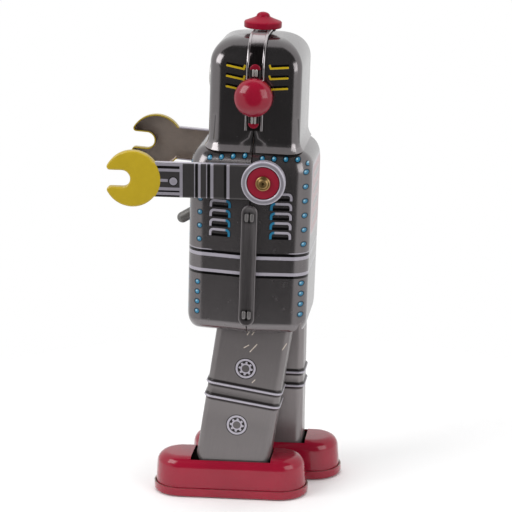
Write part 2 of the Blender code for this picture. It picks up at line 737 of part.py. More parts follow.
def make_leg(name, side, pivot):
    """Two tin halves round a steel rocker lever that hangs on the hip axle."""
    mean = (ankle_reach("left") + ankle_reach("right")) / 2
    slot = stadium(ANKLE_PIN + GAP + ANKLE_PLAY, ANKLE_PIN + GAP, steps=6, upright=True)
    slot = shifted(slot, (0, -mean))
    rings = [leg_section(q, swell) for q, swell in leg_stations()]
    for half, mirror in (("outer", 1), ("inner", -1)):
        shell = thickened(loft(rings, closed=False, flip=True))
        shell = cut(shell, prism(slot, LEG_WIDTH / 4, LEG_WIDTH))
        shell = moved(mirrored(shell, mirror), x=LEG_X)
        solid(f"{name}_leg_{half}", mirrored(shell, side), pivot, "leg_grey")

    middle_tilt = (LEG_TILT["left"] + LEG_TILT["right"]) / 2 - LEAN
    window_at = turned_points([CRANK_AXIS], middle_tilt)[0]
    reach = math.hypot(*window_at)
    throw = crank_throw()
    across = throw + ARBOR + GAP
    window = stadium(2 * throw + ARBOR + GAP, across, steps=5)
    slope = math.atan2(window_at[1], window_at[0])
    window = shifted(turned_points(window, slope - math.pi / 2), window_at)
    margin = 1.6 * MM
    head = stadium(2 * throw + ARBOR + GAP + margin, across + margin, steps=5)
    head = shifted(turned_points(head, slope - math.pi / 2), window_at)
    low, high = LEG_X - PLATE / 2, LEG_X + PLATE / 2
    neck = stadium(reach / 2 + margin, LEVER_WIDTH / 2, steps=4)
    neck = shifted(turned_points(neck, slope), (window_at[0] / 2, window_at[1] / 2))
    tail_end = -mean - ANKLE_PIN - ANKLE_PLAY - margin
    tail = stadium((LEVER_WIDTH - tail_end) / 2, LEVER_WIDTH / 2, steps=4, upright=True)
    tail = shifted(tail, (0, (tail_end + LEVER_WIDTH) / 2))
    lever = joined(prism(tail, low, high), prism(neck, low, high), prism(head, low, high))
    stud = LEG_WIDTH / 2 - TIN - GAP
    studs = [rod(LEG_STUD, LEG_X - stud, LEG_X + stud, (0, q), 8) for q in LEG_STUDS]
    lever = joined(lever, *studs)
    lever = cut(lever, prism(window, low - PLATE, high + PLATE), prism(slot, low - PLATE, high + PLATE),
                rod(HIP_AXLE + GAP, low - PLATE, high + PLATE, steps=12))
    solid(f"{name}_leg_lever", mirrored(lever, side), pivot, "steel")


# ---------------------------------------------------------------- feet

def foot_ring(inset, z):
    """Outline of the foot with half-round ends, seen from above, with the ankle at y = 0."""
    outline = stadium(FOOT_LENGTH / 2 - inset, FOOT_WIDTH / 2 - inset, steps=7)
    return [(LEG_X - b, FOOT_OFFSET + a, z) for a, b in outline]


def make_foot(name, side, pivot):
    floor = -ANKLE_Z
    shell_inset = TIN + GAP
    rim = TRAY_ROUND
    fillet_low = FOOT_TOP - FOOT_FILLET
    draw = (fillet_low - TRAY_WALL) * math.tan(FOOT_DRAFT)
    levels = [(shell_inset, rim), (shell_inset, TRAY_WALL)]
    for z in fillet_depths(FOOT_TOP, FOOT_FILLET, 3):
        levels.append((shell_inset + draw + fillet_inset(z, FOOT_TOP, FOOT_FILLET), z))
    shell = thickened(loft([foot_ring(*level) for level in levels], cap_last=True))
    slot_half = LEG_WIDTH / 2 + SLOT_CLEARANCE
    slot = box((LEG_X - slot_half, -SLOT_LENGTH / 2, fillet_low), (LEG_X + slot_half, SLOT_LENGTH / 2, 2 * FOOT_TOP))
    slot = bevelled(slot, SLOT_CORNER, 1)
    shell = moved(cut(shell, slot), z=floor)
    solid(f"{name}_foot_shell", mirrored(shell, side), pivot, "red")

    turns = [math.pi / 2 * k / 2 for k in range(3)]
    levels = [(TRAY_ROUND * (1 - math.sin(t)), TRAY_ROUND * (1 - math.cos(t))) for t in turns]
    levels.append((0, TRAY_WALL))
    tray = thickened(loft([foot_ring(*level) for level in levels], cap_first=True))
    window_x = ROLLER_WIDTH / 2 + 2 * GAP
    chord = math.sqrt(ROLLER_RADIUS ** 2 - (ROLLER_RADIUS + ROLLER_LIFT - 2 * TIN) ** 2)
    for end in (-1, 1):
        y = FOOT_OFFSET + end * ROLLER_SPACING / 2
        tray = cut(tray, box((LEG_X - window_x, y - chord - 2 * GAP, -PLATE),
                             (LEG_X + window_x, y + chord + 2 * GAP, PLATE)))
        tray = joined(tray, *[roller_lug(y, x_side, window_x) for x_side in (-1, 1)])
    lug_in = LEG_WIDTH / 2 + GAP
    for x_side in (-1, 1):
        near, far = LEG_X + x_side * lug_in, LEG_X + x_side * (lug_in + ANKLE_LUG)
        top = arc((0, ANKLE_Z), 2 * ANKLE_PIN, 0, math.pi, 5)
        outline = top + [(-2 * ANKLE_PIN, TIN / 2), (2 * ANKLE_PIN, TIN / 2)]
        lug = prism(outline, min(near, far), max(near, far), [circle(ANKLE_PIN + GAP, (0, ANKLE_Z), 10)])
        tray = joined(tray, lug)
    solid(f"{name}_sole_tray", mirrored(moved(tray, z=floor), side), pivot, "red")

    reach = lug_in + ANKLE_LUG + GAP
    pin = rod(ANKLE_PIN, LEG_X - reach, LEG_X + reach, steps=10)
    solid(f"{name}_ankle_pin", mirrored(pin, side), pivot, "steel")
    for end, y_side in (("front", -1), ("rear", 1)):
        y = FOOT_OFFSET + y_side * ROLLER_SPACING / 2
        axis = frame(f"{name}_{end}_roller_axis", pivot, (0, y, roller_height() - ANKLE_Z))
        roller = rod(ROLLER_RADIUS, LEG_X - ROLLER_WIDTH / 2, LEG_X + ROLLER_WIDTH / 2)
        half = window_x + PLATE + GAP
        roller = joined(roller, rod(ROLLER_AXLE, LEG_X - half, LEG_X + half, steps=8))
        solid(f"{name}_{end}_roller", mirrored(roller, side), axis, "steel")


def roller_height():
    return ROLLER_RADIUS + ROLLER_LIFT


def roller_lug(y, x_side, window_x):
    """An ear on the sole tray that holds one end of a roller's axle."""
    height = roller_height()
    near, far = LEG_X + x_side * window_x, LEG_X + x_side * (window_x + PLATE)
    half = ROLLER_AXLE + GAP + PLATE
    top = arc((y, height), half, 0, math.pi, 4)
    outline = top + [(y - half, TIN / 2), (y + half, TIN / 2)]
    hole = circle(ROLLER_AXLE + GAP, (y, height), 8)
    return prism(outline, min(near, far), max(near, far), [hole])


# ---------------------------------------------------------------- clockwork

def involute(angle):
    return math.tan(angle) - angle


def gear_outline(teeth, phase):
    """Involute teeth, each with its root and tip points on both flanks."""
    pitch = MODULE * teeth / 2
    base = pitch * math.cos(PRESSURE)
    half = math.pi / (2 * teeth) - BACKLASH / (MODULE * teeth)

    def flank(radius):
        return half + involute(PRESSURE) - involute(math.acos(min(1.0, base / radius)))

    root, tip = pitch - DEDENDUM * MODULE, pitch + ADDENDUM * MODULE
    rising = [(root, -flank(max(root, base))), (tip, -flank(tip))]
    falling = [(radius, -turn) for radius, turn in reversed(rising)]
    points = []
    for tooth in range(teeth):
        middle = phase + 2 * math.pi * tooth / teeth
        points += [(radius * math.cos(middle + turn), radius * math.sin(middle + turn))
                   for radius, turn in rising + falling]
    return points


def centre_distance(teeth_a, teeth_b):
    return MODULE * (teeth_a + teeth_b) / 2


def mesh_phase(phase, teeth, mate_teeth, heading):
    """Phase of a mating gear's teeth so that they sit in the gaps along a heading."""
    return heading + math.pi - (phase - heading) * teeth / mate_teeth + math.pi / mate_teeth


def heading(start, end):
    return math.atan2(end[1] - start[1], end[0] - start[0])


def third_point(a, b, from_a, from_b):
    """The point above the line from a to b at given distances from both."""
    span = (b - a).length
    along = (from_a ** 2 - from_b ** 2 + span ** 2) / (2 * span)
    rise = math.sqrt(from_a ** 2 - along ** 2)
    unit = (b - a) / span
    return a + unit * along + Vector((-unit.y, unit.x)) * rise


SECOND_AXIS = third_point(WINDING_AXIS, CRANK_AXIS, centre_distance(GREAT_TEETH, PINION_TEETH),
                          centre_distance(SECOND_TEETH, PINION_TEETH))
GOVERNOR_HEADING = math.radians(137.5)
GOVERNOR_AXIS = SECOND_AXIS + centre_distance(SECOND_TEETH, GOVERNOR_TEETH) * Vector(
    (math.cos(GOVERNOR_HEADING), math.sin(GOVERNOR_HEADING)))
SPRING_POST = WINDING_AXIS + SPRING_POST_REACH * Vector(
    (math.cos(SPRING_POST_TURN), math.sin(SPRING_POST_TURN)))
PALLET_REACH = STAR_RADIUS + 3.0 * MM
PALLET_AXIS = GOVERNOR_AXIS + Vector((PALLET_REACH, 0))
PILLARS = {
    "spring_post": SPRING_POST,
    "lever_pillar": LEVER_PIVOT,
    "lower_pillar": Vector((LOWER_PILLAR_U, LOWER_PILLAR_W)),
    "upper_pillar": Vector((UPPER_PILLAR_U, UPPER_PILLAR_W)),
}


def crank_throw():
    """Crank radius that swings a leg by the stride each way."""
    return CRANK_AXIS.length * math.sin(STRIDE)


def crank_turn():
    """Where the left crank pin stands for the stride of the rest pose."""
    middle = (LEG_TILT["left"] + LEG_TILT["right"]) / 2
    ahead = math.asin((LEG_TILT["left"] - middle) / STRIDE)
    tangent = math.atan2(CRANK_AXIS.y, CRANK_AXIS.x) - math.pi / 2
    return tangent + math.pi / 2 - ahead


def frame_plate(side):
    """A steel side plate of the motor, with lugs that reach the body shells."""
    outline = rounded_rectangle((FRAME_REAR - FRAME_FRONT) / 2, FRAME_LOW, FRAME_HIGH,
                                FRAME_CORNER, FRAME_CORNER)
    outline = shifted(outline, ((FRAME_REAR + FRAME_FRONT) / 2, 0))
    low, high = FRAME_HALF_WIDTH, FRAME_HALF_WIDTH + PLATE
    plate = prism(outline, low, high)
    for w, full, direction in ((REAR_LUG_W, BODY_REAR_DEPTH, 1), (FRONT_LUG_W, BODY_FRONT_DEPTH, -1)):
        reach = SEAM_U + direction * (body_depth(full, w - FRAME_LUG / 2) - TIN - GAP)
        start = SEAM_U
        lug = box((low, min(start, reach), w - FRAME_LUG / 2), (high, max(start, reach), w + FRAME_LUG / 2))
        plate = joined(plate, lug)
    holes = [(WINDING_AXIS, WINDING_ARBOR), (CRANK_AXIS, ARBOR), (SECOND_AXIS, ARBOR),
             (GOVERNOR_AXIS, ARBOR), (Vector((0, 0)), HIP_AXLE)]
    if side > 0:
        holes.append((PALLET_AXIS, ARBOR))
    for centre, radius in holes:
        plate = cut(plate, rod(radius + GAP, low - PLATE, high + PLATE, centre, 12))
    return mirrored(plate, side)


def make_frame(trunk):
    for name, side in SIDES.items():
        solid(f"{name}_motor_plate", frame_plate(side), trunk, "steel")
    reach = FRAME_HALF_WIDTH - GAP
    for name, centre in PILLARS.items():
        solid(name, rod(PILLAR, -reach, reach, centre, 12), trunk, "steel")
    end = LEG_X + PLATE / 2 + GAP
    axle = rod(HIP_AXLE, -end - PLATE, end + PLATE)
    for low, high in ((-end - PLATE, -end), (end, end + PLATE)):
        axle = joined(axle, rod(HIP_AXLE + PLATE, low, high))
    solid("hip_axle", axle, trunk, "steel")


def spring_outline():
    """A flat spiral strip whose outer tail runs out to its post."""
    inner = WINDING_ARBOR + GAP + TIN
    last = SPRING_POST_TURN
    sweep = 2 * math.pi * SPRING_TURNS
    steps = int(12 * SPRING_TURNS)
    middle = []
    for k in range(steps + 1):
        share = k / steps
        tail = max(0.0, share * SPRING_TURNS - (SPRING_TURNS - 0.25)) * 4
        reach = SPRING_POST_REACH - PILLAR - GAP - TIN
        radius = inner + (SPRING_RADIUS - inner) * share + (reach - SPRING_RADIUS) * tail ** 2
        middle.append((radius, last - sweep * (1 - share)))
    edge = TIN / 2
    outer = [((r + edge) * math.cos(t), (r + edge) * math.sin(t)) for r, t in middle]
    inside = [((r - edge) * math.cos(t), (r - edge) * math.sin(t)) for r, t in reversed(middle)]
    return outer + inside


def make_winding(trunk):
    """Arbor with its ratchet wheel, the key on its outer end, and the mainspring."""
    arbor_frame = frame("winding_axis", trunk, (0, *WINDING_AXIS))
    far = FRAME_HALF_WIDTH + PLATE
    key_start = ARM_FACE - ARM_DEPTH - GAP
    bow_start = ARM_FACE + SHOULDER_RING_HEIGHT + RIVET_HEIGHT + GAP
    arbor_end = bow_start - PLATE
    arbor = rod(WINDING_ARBOR, -arbor_end, far)
    points = []
    for tooth in range(RATCHET_TEETH):
        turn = 2 * math.pi * tooth / RATCHET_TEETH
        points += arc((0, 0), RATCHET_RADIUS, turn, turn, 1)[:1]
        points += arc((0, 0), RATCHET_RADIUS * 0.78, turn, turn, 1)[:1]
    ratchet = prism(points, RATCHET_X - PLATE / 2, RATCHET_X + PLATE / 2)
    solid("winding_arbor", joined(arbor, ratchet), arbor_frame, "steel")

    middle = bow_start + KEY_WIDTH / 2
    boss = rod(KEY_BOSS, -middle + PLATE, -key_start)
    lobe, waist = (KEY_LENGTH - KEY_WIDTH) / 2, math.radians(150)
    wings = arc((lobe, 0), KEY_WIDTH / 2, -waist, waist, 12)
    wings += arc((-lobe, 0), KEY_WIDTH / 2, math.pi - waist, math.pi + waist, 12)
    bow = prism(wings, -PLATE / 2, PLATE / 2)
    upright = Matrix(((0, 0, 1, 0), (1, 0, 0, 0), (0, 1, 0, 0), (0, 0, 0, 1)))
    bmesh.ops.transform(bow, matrix=upright, verts=bow.verts)
    bow = moved(bow, x=-middle)
    key = cut(joined(boss, bow), rod(WINDING_ARBOR + GAP, -arbor_end - GAP, 0))
    solid("winding_key", key, arbor_frame, "steel")

    low = SPRING_X - SPRING_WIDTH / 2
    spring = prism(spring_outline(), low, low + SPRING_WIDTH)
    seat = frame("spring_seat", trunk, (0, *WINDING_AXIS))
    solid("mainspring", spring, seat, "spring_steel")


def make_great_wheel(trunk):
    axis = frame("great_wheel_axis", trunk, (0, *WINDING_AXIS))
    low, high = GREAT_X - WHEEL / 2, GREAT_X + WHEEL / 2
    wheel = prism(gear_outline(GREAT_TEETH, 0), low, high, [circle(WINDING_ARBOR + GAP)])
    solid("great_wheel", wheel, axis, "brass")
    start = high + GAP
    pawl = [(RATCHET_RADIUS + 2 * GAP, 0), (RATCHET_RADIUS + PLATE, -2 * PLATE),
            (RATCHET_RADIUS + 2 * PLATE, -4 * PLATE), (RATCHET_RADIUS + 4 * PLATE, -4 * PLATE),
            (RATCHET_RADIUS + 3 * PLATE, 0)]
    solid("click", prism(pawl, start, start + PLATE), axis, "spring_steel")


def make_train(trunk):
    """Second wheel, crank axle and governor, with their teeth in mesh at rest."""
    to_second = heading(WINDING_AXIS, SECOND_AXIS)
    second_phase = mesh_phase(0, GREAT_TEETH, PINION_TEETH, to_second)
    span = FRAME_HALF_WIDTH + PLATE

    second = frame("second_axis", trunk, (0, *SECOND_AXIS))
    wheel = prism(gear_outline(SECOND_TEETH, 0), SECOND_X - WHEEL / 2, SECOND_X + WHEEL / 2)
    pinion = prism(gear_outline(PINION_TEETH, second_phase), GREAT_X - PINION_WIDTH / 2,
                   GREAT_X + PINION_WIDTH / 2)
    solid("second_wheel", joined(wheel, rod(ARBOR, -span, span, steps=12), pinion), second, "brass")

    crank = frame("crank_axis", trunk, (0, *CRANK_AXIS))
    crank_phase = mesh_phase(0, SECOND_TEETH, PINION_TEETH, heading(SECOND_AXIS, CRANK_AXIS))
    pinion = prism(gear_outline(PINION_TEETH, crank_phase), SECOND_X - PINION_WIDTH / 2,
                   SECOND_X + PINION_WIDTH / 2)
    disc_low = span + GAP
    disc_high = LEG_X - PLATE / 2 - 2 * GAP
    axle_end = disc_high - PLATE / 2 - GAP
    solid("crank_axle", joined(rod(ARBOR, -axle_end, axle_end, steps=12), pinion), crank, "steel")
    pin_end = LEG_X + PLATE
    for name, side in SIDES.items():
        turn = crank_turn() + (0 if side > 0 else math.pi)
        pin = (crank_throw() * math.cos(turn), crank_throw() * math.sin(turn))
        disc = rod(CRANK_DISC, disc_low, disc_high)
        disc = joined(disc, rod(ARBOR, disc_high - PLATE / 2, pin_end, pin, 12))
        disc = cut(disc, rod(ARBOR + GAP, disc_low - PLATE, disc_high - PLATE / 2, steps=12))
        solid(f"{name}_crank", mirrored(disc, side), crank, "steel")

    governor = frame("governor_axis", trunk, (0, *GOVERNOR_AXIS))
    phase = mesh_phase(0, SECOND_TEETH, GOVERNOR_TEETH, heading(SECOND_AXIS, GOVERNOR_AXIS))
    pinion = prism(gear_outline(GOVERNOR_TEETH, phase), SECOND_X - PINION_WIDTH / 2,
                   SECOND_X + PINION_WIDTH / 2)
    star = []
    for tooth in range(STAR_TEETH):
        turn = 2 * math.pi * tooth / STAR_TEETH
        star.append((STAR_RADIUS * math.cos(turn), STAR_RADIUS * math.sin(turn)))
        turn += math.pi / STAR_TEETH
        star.append((STAR_RADIUS * 0.72 * math.cos(turn), STAR_RADIUS * 0.72 * math.sin(turn)))
    star = prism(star, STAR_X - PLATE / 2, STAR_X + PLATE / 2)
    solid("governor_wheel", joined(rod(ARBOR, -span, span, steps=12), pinion, star), governor, "brass")

    pallet_frame = frame("pallet_axis", trunk, (0, *PALLET_AXIS))
    spread = math.radians(48)
    outer = arc((-PALLET_REACH, 0), PALLET_REACH - GAP, -spread, spread, 8)
    inner = arc((-PALLET_REACH, 0), STAR_RADIUS + 2 * GAP, spread, -spread, 8)
    anchor = prism(outer + inner, STAR_X - PLATE / 2, STAR_X + PLATE / 2)
    hub = rod(2 * ARBOR, STAR_X - PLATE / 2, STAR_X + PLATE / 2, steps=12)
    hub = joined(hub, rod(ARBOR, STAR_X, span, steps=12))
    solid("governor_pallet", joined(anchor, hub), pallet_frame, "steel")


def lever_direction():
    return Vector((-math.cos(LEVER_SLOPE), -math.sin(LEVER_SLOPE)))


def lever_slot_span(face):
    """Lowest and highest edge of the chest slot that clears the start lever's travel."""
    out = LEVER_PIVOT.x - (face + TIN / 2)
    rod_half = LEVER_ROD / math.cos(LEVER_SLOPE) + TIN + GAP
    low = LEVER_PIVOT.y - out * math.tan(LEVER_SLOPE) - rod_half
    high = LEVER_PIVOT.y - out * math.tan(LEVER_SLOPE - LEVER_TRAVEL) + rod_half
    return low, high


def make_start_lever(trunk):
    pivot = frame("start_lever_axis", trunk, (0, *LEVER_PIVOT))
    direction = lever_direction()
    hub_radius = PILLAR + GAP + 1.2 * MM
    star_low, star_high = STAR_X - PLATE / 2, STAR_X + PLATE / 2
    lever = rod(hub_radius, -LEVER_ROD - GAP, star_high + GAP)
    tip = [(LEVER_ROD * math.sin(t), LEVER_REACH - LEVER_ROD * (1 - math.cos(t)))
           for t in (math.pi / 2 * k / 4 for k in range(5))]
    handle = turned(tip + [(LEVER_ROD, 0), (0, 0)], along=(0, direction.x, direction.y), steps=ROUND_STEPS)
    to_star = GOVERNOR_AXIS - LEVER_PIVOT
    reach = to_star.length - STAR_RADIUS - 2 * GAP
    brake = stadium(reach / 2, PILLAR, steps=4)
    brake = turned_points(shifted(brake, (reach / 2, 0)), math.atan2(to_star.y, to_star.x))
    lever = joined(lever, handle, prism(brake, star_low, star_high))
    lever = cut(lever, rod(PILLAR + GAP, -2 * LEVER_ROD, 2 * star_high))
    solid("start_lever", lever, pivot, "grey_enamel")


# ---------------------------------------------------------------- assembly

def stand_on_origin(toy):
    """Moves the toy so that the bottom centre of its box is the origin."""
    bpy.context.view_layer.update()
    corners = [piece.matrix_world @ Vector(corner) for piece in TOY.objects
               if piece.type == "MESH" for corner in piece.bound_box]
    for axis in (0, 1):
        values = [corner[axis] for corner in corners]
        toy.location[axis] = -(min(values) + max(values)) / 2
    toy.location[2] = -min(corner[2] for corner in corners)


clear_scene()
TOY = new_collection("clockwork_tin_robot")


def main():
    toy = frame("toy")
    trunk = frame("trunk", toy, (0, HIP_Y, HIP_Z), -LEAN)
    make_trunk(trunk)
    make_head(trunk)
    make_neck(trunk)
    make_band(trunk)
    make_ears(trunk)
    make_crown_cap(trunk)
    make_arms(trunk)
    make_frame(trunk)
    make_winding(trunk)
    make_great_wheel(trunk)
    make_train(trunk)
    make_start_lever(trunk)
    for name, side in SIDES.items():
        tilt = LEG_TILT[name]
        hip = frame(f"{name}_hip", trunk, (0, 0, 0), LEAN - tilt)
        make_leg(name, side, hip)
        ankle = frame(f"{name}_ankle", hip, (0, 0, -ankle_reach(name)), tilt)
        make_foot(name, side, ankle)
    stand_on_origin(toy)


main()
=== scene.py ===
"""Looks for the clockwork tin robot: printed tinplate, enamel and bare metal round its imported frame."""
import json
import math
from types import SimpleNamespace

import bmesh
import bpy
import numpy as np
from mathutils import Matrix, Vector


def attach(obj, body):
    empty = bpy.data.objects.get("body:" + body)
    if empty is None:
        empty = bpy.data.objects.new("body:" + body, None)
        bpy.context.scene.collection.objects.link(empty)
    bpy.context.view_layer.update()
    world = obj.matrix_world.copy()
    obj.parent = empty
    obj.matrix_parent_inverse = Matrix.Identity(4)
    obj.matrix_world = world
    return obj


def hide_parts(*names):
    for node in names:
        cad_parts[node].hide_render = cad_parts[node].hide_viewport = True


bl_info = {
    "name": "Clockwork Tin Robot",
    "version": (1, 0, 0),
    "blender": (4, 5, 0),
    "location": "3D View > Sidebar > Tin Robot",
    "description": "Builds the drawn and printed tin pieces of a wind up robot",
    "category": "Object",
}

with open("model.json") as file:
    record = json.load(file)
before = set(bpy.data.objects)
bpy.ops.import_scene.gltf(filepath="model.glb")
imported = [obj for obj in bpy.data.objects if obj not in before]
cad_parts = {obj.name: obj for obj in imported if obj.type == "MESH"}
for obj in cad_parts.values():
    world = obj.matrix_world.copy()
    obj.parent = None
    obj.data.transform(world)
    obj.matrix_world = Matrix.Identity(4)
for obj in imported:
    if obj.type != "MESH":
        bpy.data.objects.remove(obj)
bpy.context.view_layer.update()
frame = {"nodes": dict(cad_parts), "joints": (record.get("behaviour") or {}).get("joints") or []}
JOINTS = {joint["name"]: Vector(joint["pos_m"]) for joint in frame["joints"]}
NODES = frame["nodes"]

MM = 0.001
SIDES = {"left": 1, "right": -1}
LEAN = math.radians(1.8)
TILT = {"left": math.radians(9.1), "right": math.radians(0.8)}
LIFT = {"left": math.radians(-1.4), "right": math.radians(2.7)}

# Places in the trunk's own frame, in millimetres: u to the rear, w up, from the hip axle
SEAM = -5.03
BODY_LOW, BODY_HIGH = -20.7, 54.0
BODY_DRAFT, BODY_SLOPE = math.radians(8.0), math.radians(0.35)
BODY_FILLETS = {"side": 6.5, "high": 7.5, "low": 4.5}
BODY_CORNERS = {"high": 8.5, "low": 5.0}
HEAD_LOW, HEAD_CROWN = 53.8, 0.7
HEAD_CORNERS = {"front": 6.0, "rear": 4.4}
HEAD_FILLETS = {"front": 9.5, "rear": 11.0, "side": 12.0}
STRIP_LOW, STRIP_HIGH = -16.9, 32.6
STRIP_MIDDLE, STRIP_HALF = (SEAM, (STRIP_LOW + STRIP_HIGH) / 2), (STRIP_HIGH - STRIP_LOW) / 2
STRIP_TABS = (STRIP_HIGH - 5.0, STRIP_LOW + 4.6)
EAR = (SEAM, 75.2)
SHOULDER = (0.45, 42.7)
WINDING = (-12.0, 15.0)
LEVER = (-22.0, 28.2)
BEADS = (-45.1, -50.9)
DIALS = ((-0.6, -36.8), (-0.4, -61.2))

# In a foot's frame: where its rollers are, to the rear of the ankle
ROLLERS = {"front": -21.9, "rear": 20.1}
SOLE, FOOT_TOP, FOOT_SHIFT = -12.0, 16.2, -0.9

# Camera: direction, lens, and its place before it is swung about a point near the toy
AZIMUTH, ELEVATION, CAMERA_SWING = math.radians(6.8), math.radians(14.3), math.radians(2.3)
LENS, CAMERA_PLACE, CAMERA_PIVOT = 149.8, Vector((0.8404, 0.0675, 0.3113)), Vector((0.026, 0.0, 0.0))

QUARTER = math.pi / 2


def place(at, turn):
    """Frame at a point of the row, turned about x, whose lengths are millimetres."""
    return Matrix.Translation(at) @ Matrix.Rotation(turn, 4, "X") @ Matrix.Scale(MM, 4)


TRUNK = place(JOINTS["left_hip"], -LEAN)
LEGS = {side: place(JOINTS["left_hip"], -TILT[side]) for side in SIDES}
FEET = {side: place(JOINTS[f"{side}_ankle"], 0.0) for side in SIDES}
ARMS = {side: place(JOINTS[f"{side}_shoulder"], -LEAN - LIFT[side]) for side in SIDES}


# ------------------------------------------------------------------ sizes and colours

def length(name, millimetres, description):
    return bpy.props.FloatProperty(name=name, description=description, default=millimetres * MM,
                                   min=0.0, unit="LENGTH", subtype="DISTANCE", precision=5)


def colour(name, rgb, description):
    return bpy.props.FloatVectorProperty(name=name, description=description, default=rgb, size=3,
                                         min=0.0, max=1.0, subtype="COLOR")


class TinRobotSizes(bpy.types.PropertyGroup):
    tin: length("Tinplate", 0.5, "Thickness of the drawn sheet")
    gap: length("Gap", 0.3, "Play left between neighbouring pieces")
    body_half: length("Body half width", 26.0, "Half the body's width at its seam")
    body_front: length("Body front depth", 25.1, "Depth of the front shell")
    body_rear: length("Body rear depth", 23.4, "Depth of the rear shell")
    head_half: length("Head half width", 21.0, "Half the head's width")
    head_front: length("Head front depth", 18.5, "Depth of the head ahead of its seam")
    head_rear: length("Head rear depth", 18.0, "Depth of the head behind its seam")
    head_height: length("Head height", 42.9, "Height of the head shells without the crown")
    band: length("Band width", 7.2, "Width of the bright band over the head")
    ear: length("Ear radius", 7.55, "Radius of an ear dome")
    cap: length("Cap radius", 7.5, "Radius of the cap on the crown")
    arm_face: length("Arm face", 31.0, "Distance of an arm's outer face from the middle")
    arm_depth: length("Arm depth", 3.4, "Depth of the pressed arm")
    arm_width: length("Arm width", 13.8, "Width of the arm's bar")
    arm_reach: length("Arm reach", 52.0, "Distance from the shoulder to the claw's middle")
    shoulder: length("Shoulder radius", 8.6, "Radius of the arm's round end")
    claw: length("Claw radius", 11.2, "Radius of the claw")
    claw_gap: length("Claw gap", 6.7, "Width of the claw's mouth")
    leg_x: length("Leg offset", 13.0, "Distance of a leg from the middle")
    leg_width: length("Leg width", 16.0, "Width of a leg from side to side")
    leg_depth: length("Leg depth", 30.0, "Depth of a leg from front to rear")
    foot_length: length("Foot length", 63.7, "Length of a foot with its sole tray")
    foot_width: length("Foot width", 24.0, "Width of a foot with its sole tray")
    roller: length("Roller radius", 4.0, "Radius of the rollers in the soles")


class TinRobotColours(bpy.types.PropertyGroup):
    gunmetal: colour("Gunmetal", (0.172, 0.158, 0.162), "Ground print of body and head")
    leg_grey: colour("Leg grey", (0.178, 0.162, 0.163), "Ground print of the legs")
    # Pale also serves as the painted highlight along the belt near the body's corners.
    pale: colour("Pale line", (0.41, 0.385, 0.44), "Light printed lines")
    black: colour("Black", (0.006, 0.005, 0.005), "Black printed lines and shadows")
    teal: colour("Teal", (0.020, 0.185, 0.330), "Printed rivets and louvre edges")
    red: colour("Red", (0.275, 0.003, 0.022), "Enamel of feet, ears and cap")
    mustard: colour("Mustard", (0.49, 0.345, 0.006), "Enamel of the claws")
    brass: colour("Brass", (0.47, 0.31, 0.13), "Rivets and wheels")
    bare: colour("Bare tinplate", (0.52, 0.44, 0.39), "Unprinted tin inside the shells")
    bright: colour("Bright tin", (0.56, 0.52, 0.53), "Polished band over the head")


def sizes(context):
    """The sizes in millimetres."""
    group = context.scene.tin_robot_sizes
    return SimpleNamespace(**{key: getattr(group, key) / MM for key in TinRobotSizes.__annotations__})


# ------------------------------------------------------------------ outlines

def arc(centre, radius, start, end, steps):
    """Points centre + radius (cos t, sin t), with t even from start to end in the last axis but one."""
    t = np.linspace(start, end, steps + 1)
    a = np.asarray(centre[0], float)[..., None] + np.asarray(radius, float)[..., None] * np.cos(t)
    b = np.asarray(centre[1], float)[..., None] + np.asarray(radius, float)[..., None] * np.sin(t)
    return np.stack(np.broadcast_arrays(a, b), -1)


def rounded_box(half, low, high, r_low, r_high, steps=10):
    """Outline of quarter arcs about the four corners, counterclockwise from the low right one."""
    corners = ((half - r_low, low + r_low, r_low), (half - r_high, high - r_high, r_high),
               (r_high - half, high - r_high, r_high), (r_low - half, low + r_low, r_low))
    return np.concatenate([arc((a, b), r, (turn - 1) * QUARTER, turn * QUARTER, steps)
                           for turn, (a, b, r) in enumerate(corners)], -2)


def pill(half_length, radius, steps=16):
    """Outline of two half circles joined by straight sides, long along its first axis."""
    reach = half_length - radius
    return np.concatenate([arc((reach, 0 * reach), radius, -QUARTER, QUARTER, steps),
                           arc((-reach, 0 * reach), radius, QUARTER, 3 * QUARTER, steps)], -2)


def upright(half_length, radius, steps=16):
    """The pill along its second axis, as a function of the inset by which it is drawn in."""
    return lambda inset: pill(half_length - inset, radius - inset, steps)[:, ::-1] * (-1, 1)


def quarter(count):
    """Angles from 0 to a right angle."""
    return np.linspace(0, QUARTER, count)


def drawn_in(depth, full, radius):
    """Inset of a rounded edge: r - sqrt(r^2 - d^2), where d is the depth past full - r."""
    past = np.clip(depth - (full - radius), 0.0, radius)
    return radius - np.sqrt(radius ** 2 - past ** 2)


def rounding(full, radius, steps=14):
    """Depths full - r + r sin t, with t even from 0 to a right angle."""
    return full - radius + radius * np.sin(quarter(steps + 1))


# ------------------------------------------------------------------ meshes

def turned(profile, centre=(0.0, 0.0, 0.0), axis="x", steps=64):
    """Surface of (radius, height) points carried round an axis: (h, r cos t, r sin t) about x."""
    r, h = np.asarray(profile, float).T[:, :, None]
    t = np.linspace(0, 2 * math.pi, steps, endpoint=False)
    h = h + 0 * t
    a, b = r * np.cos(t), r * np.sin(t)
    grid = np.stack((h, a, b) if axis == "x" else (a, b, h), -1)
    return grid + np.asarray(centre, float), True, False, False


def stacked(outline, rows, across=(0.0, 0.0), first=True, last=True):
    """Plate in the side plane: the outline at each (inset, x) row, with flat ends."""
    grid = np.stack([np.concatenate([np.full(outline(inset).shape[:1] + (1,), x),
                                     outline(inset) + across], 1) for inset, x in rows])
    return grid, True, first, last


def edge_rows(low, high, radius, steps=5):
    """(inset, x) rows up the side of a plate whose outer edge is a quarter round."""
    t = quarter(steps + 1)
    return [(0.0, low)] + list(zip(radius * (1 - np.cos(t)), high - radius + radius * np.sin(t)))


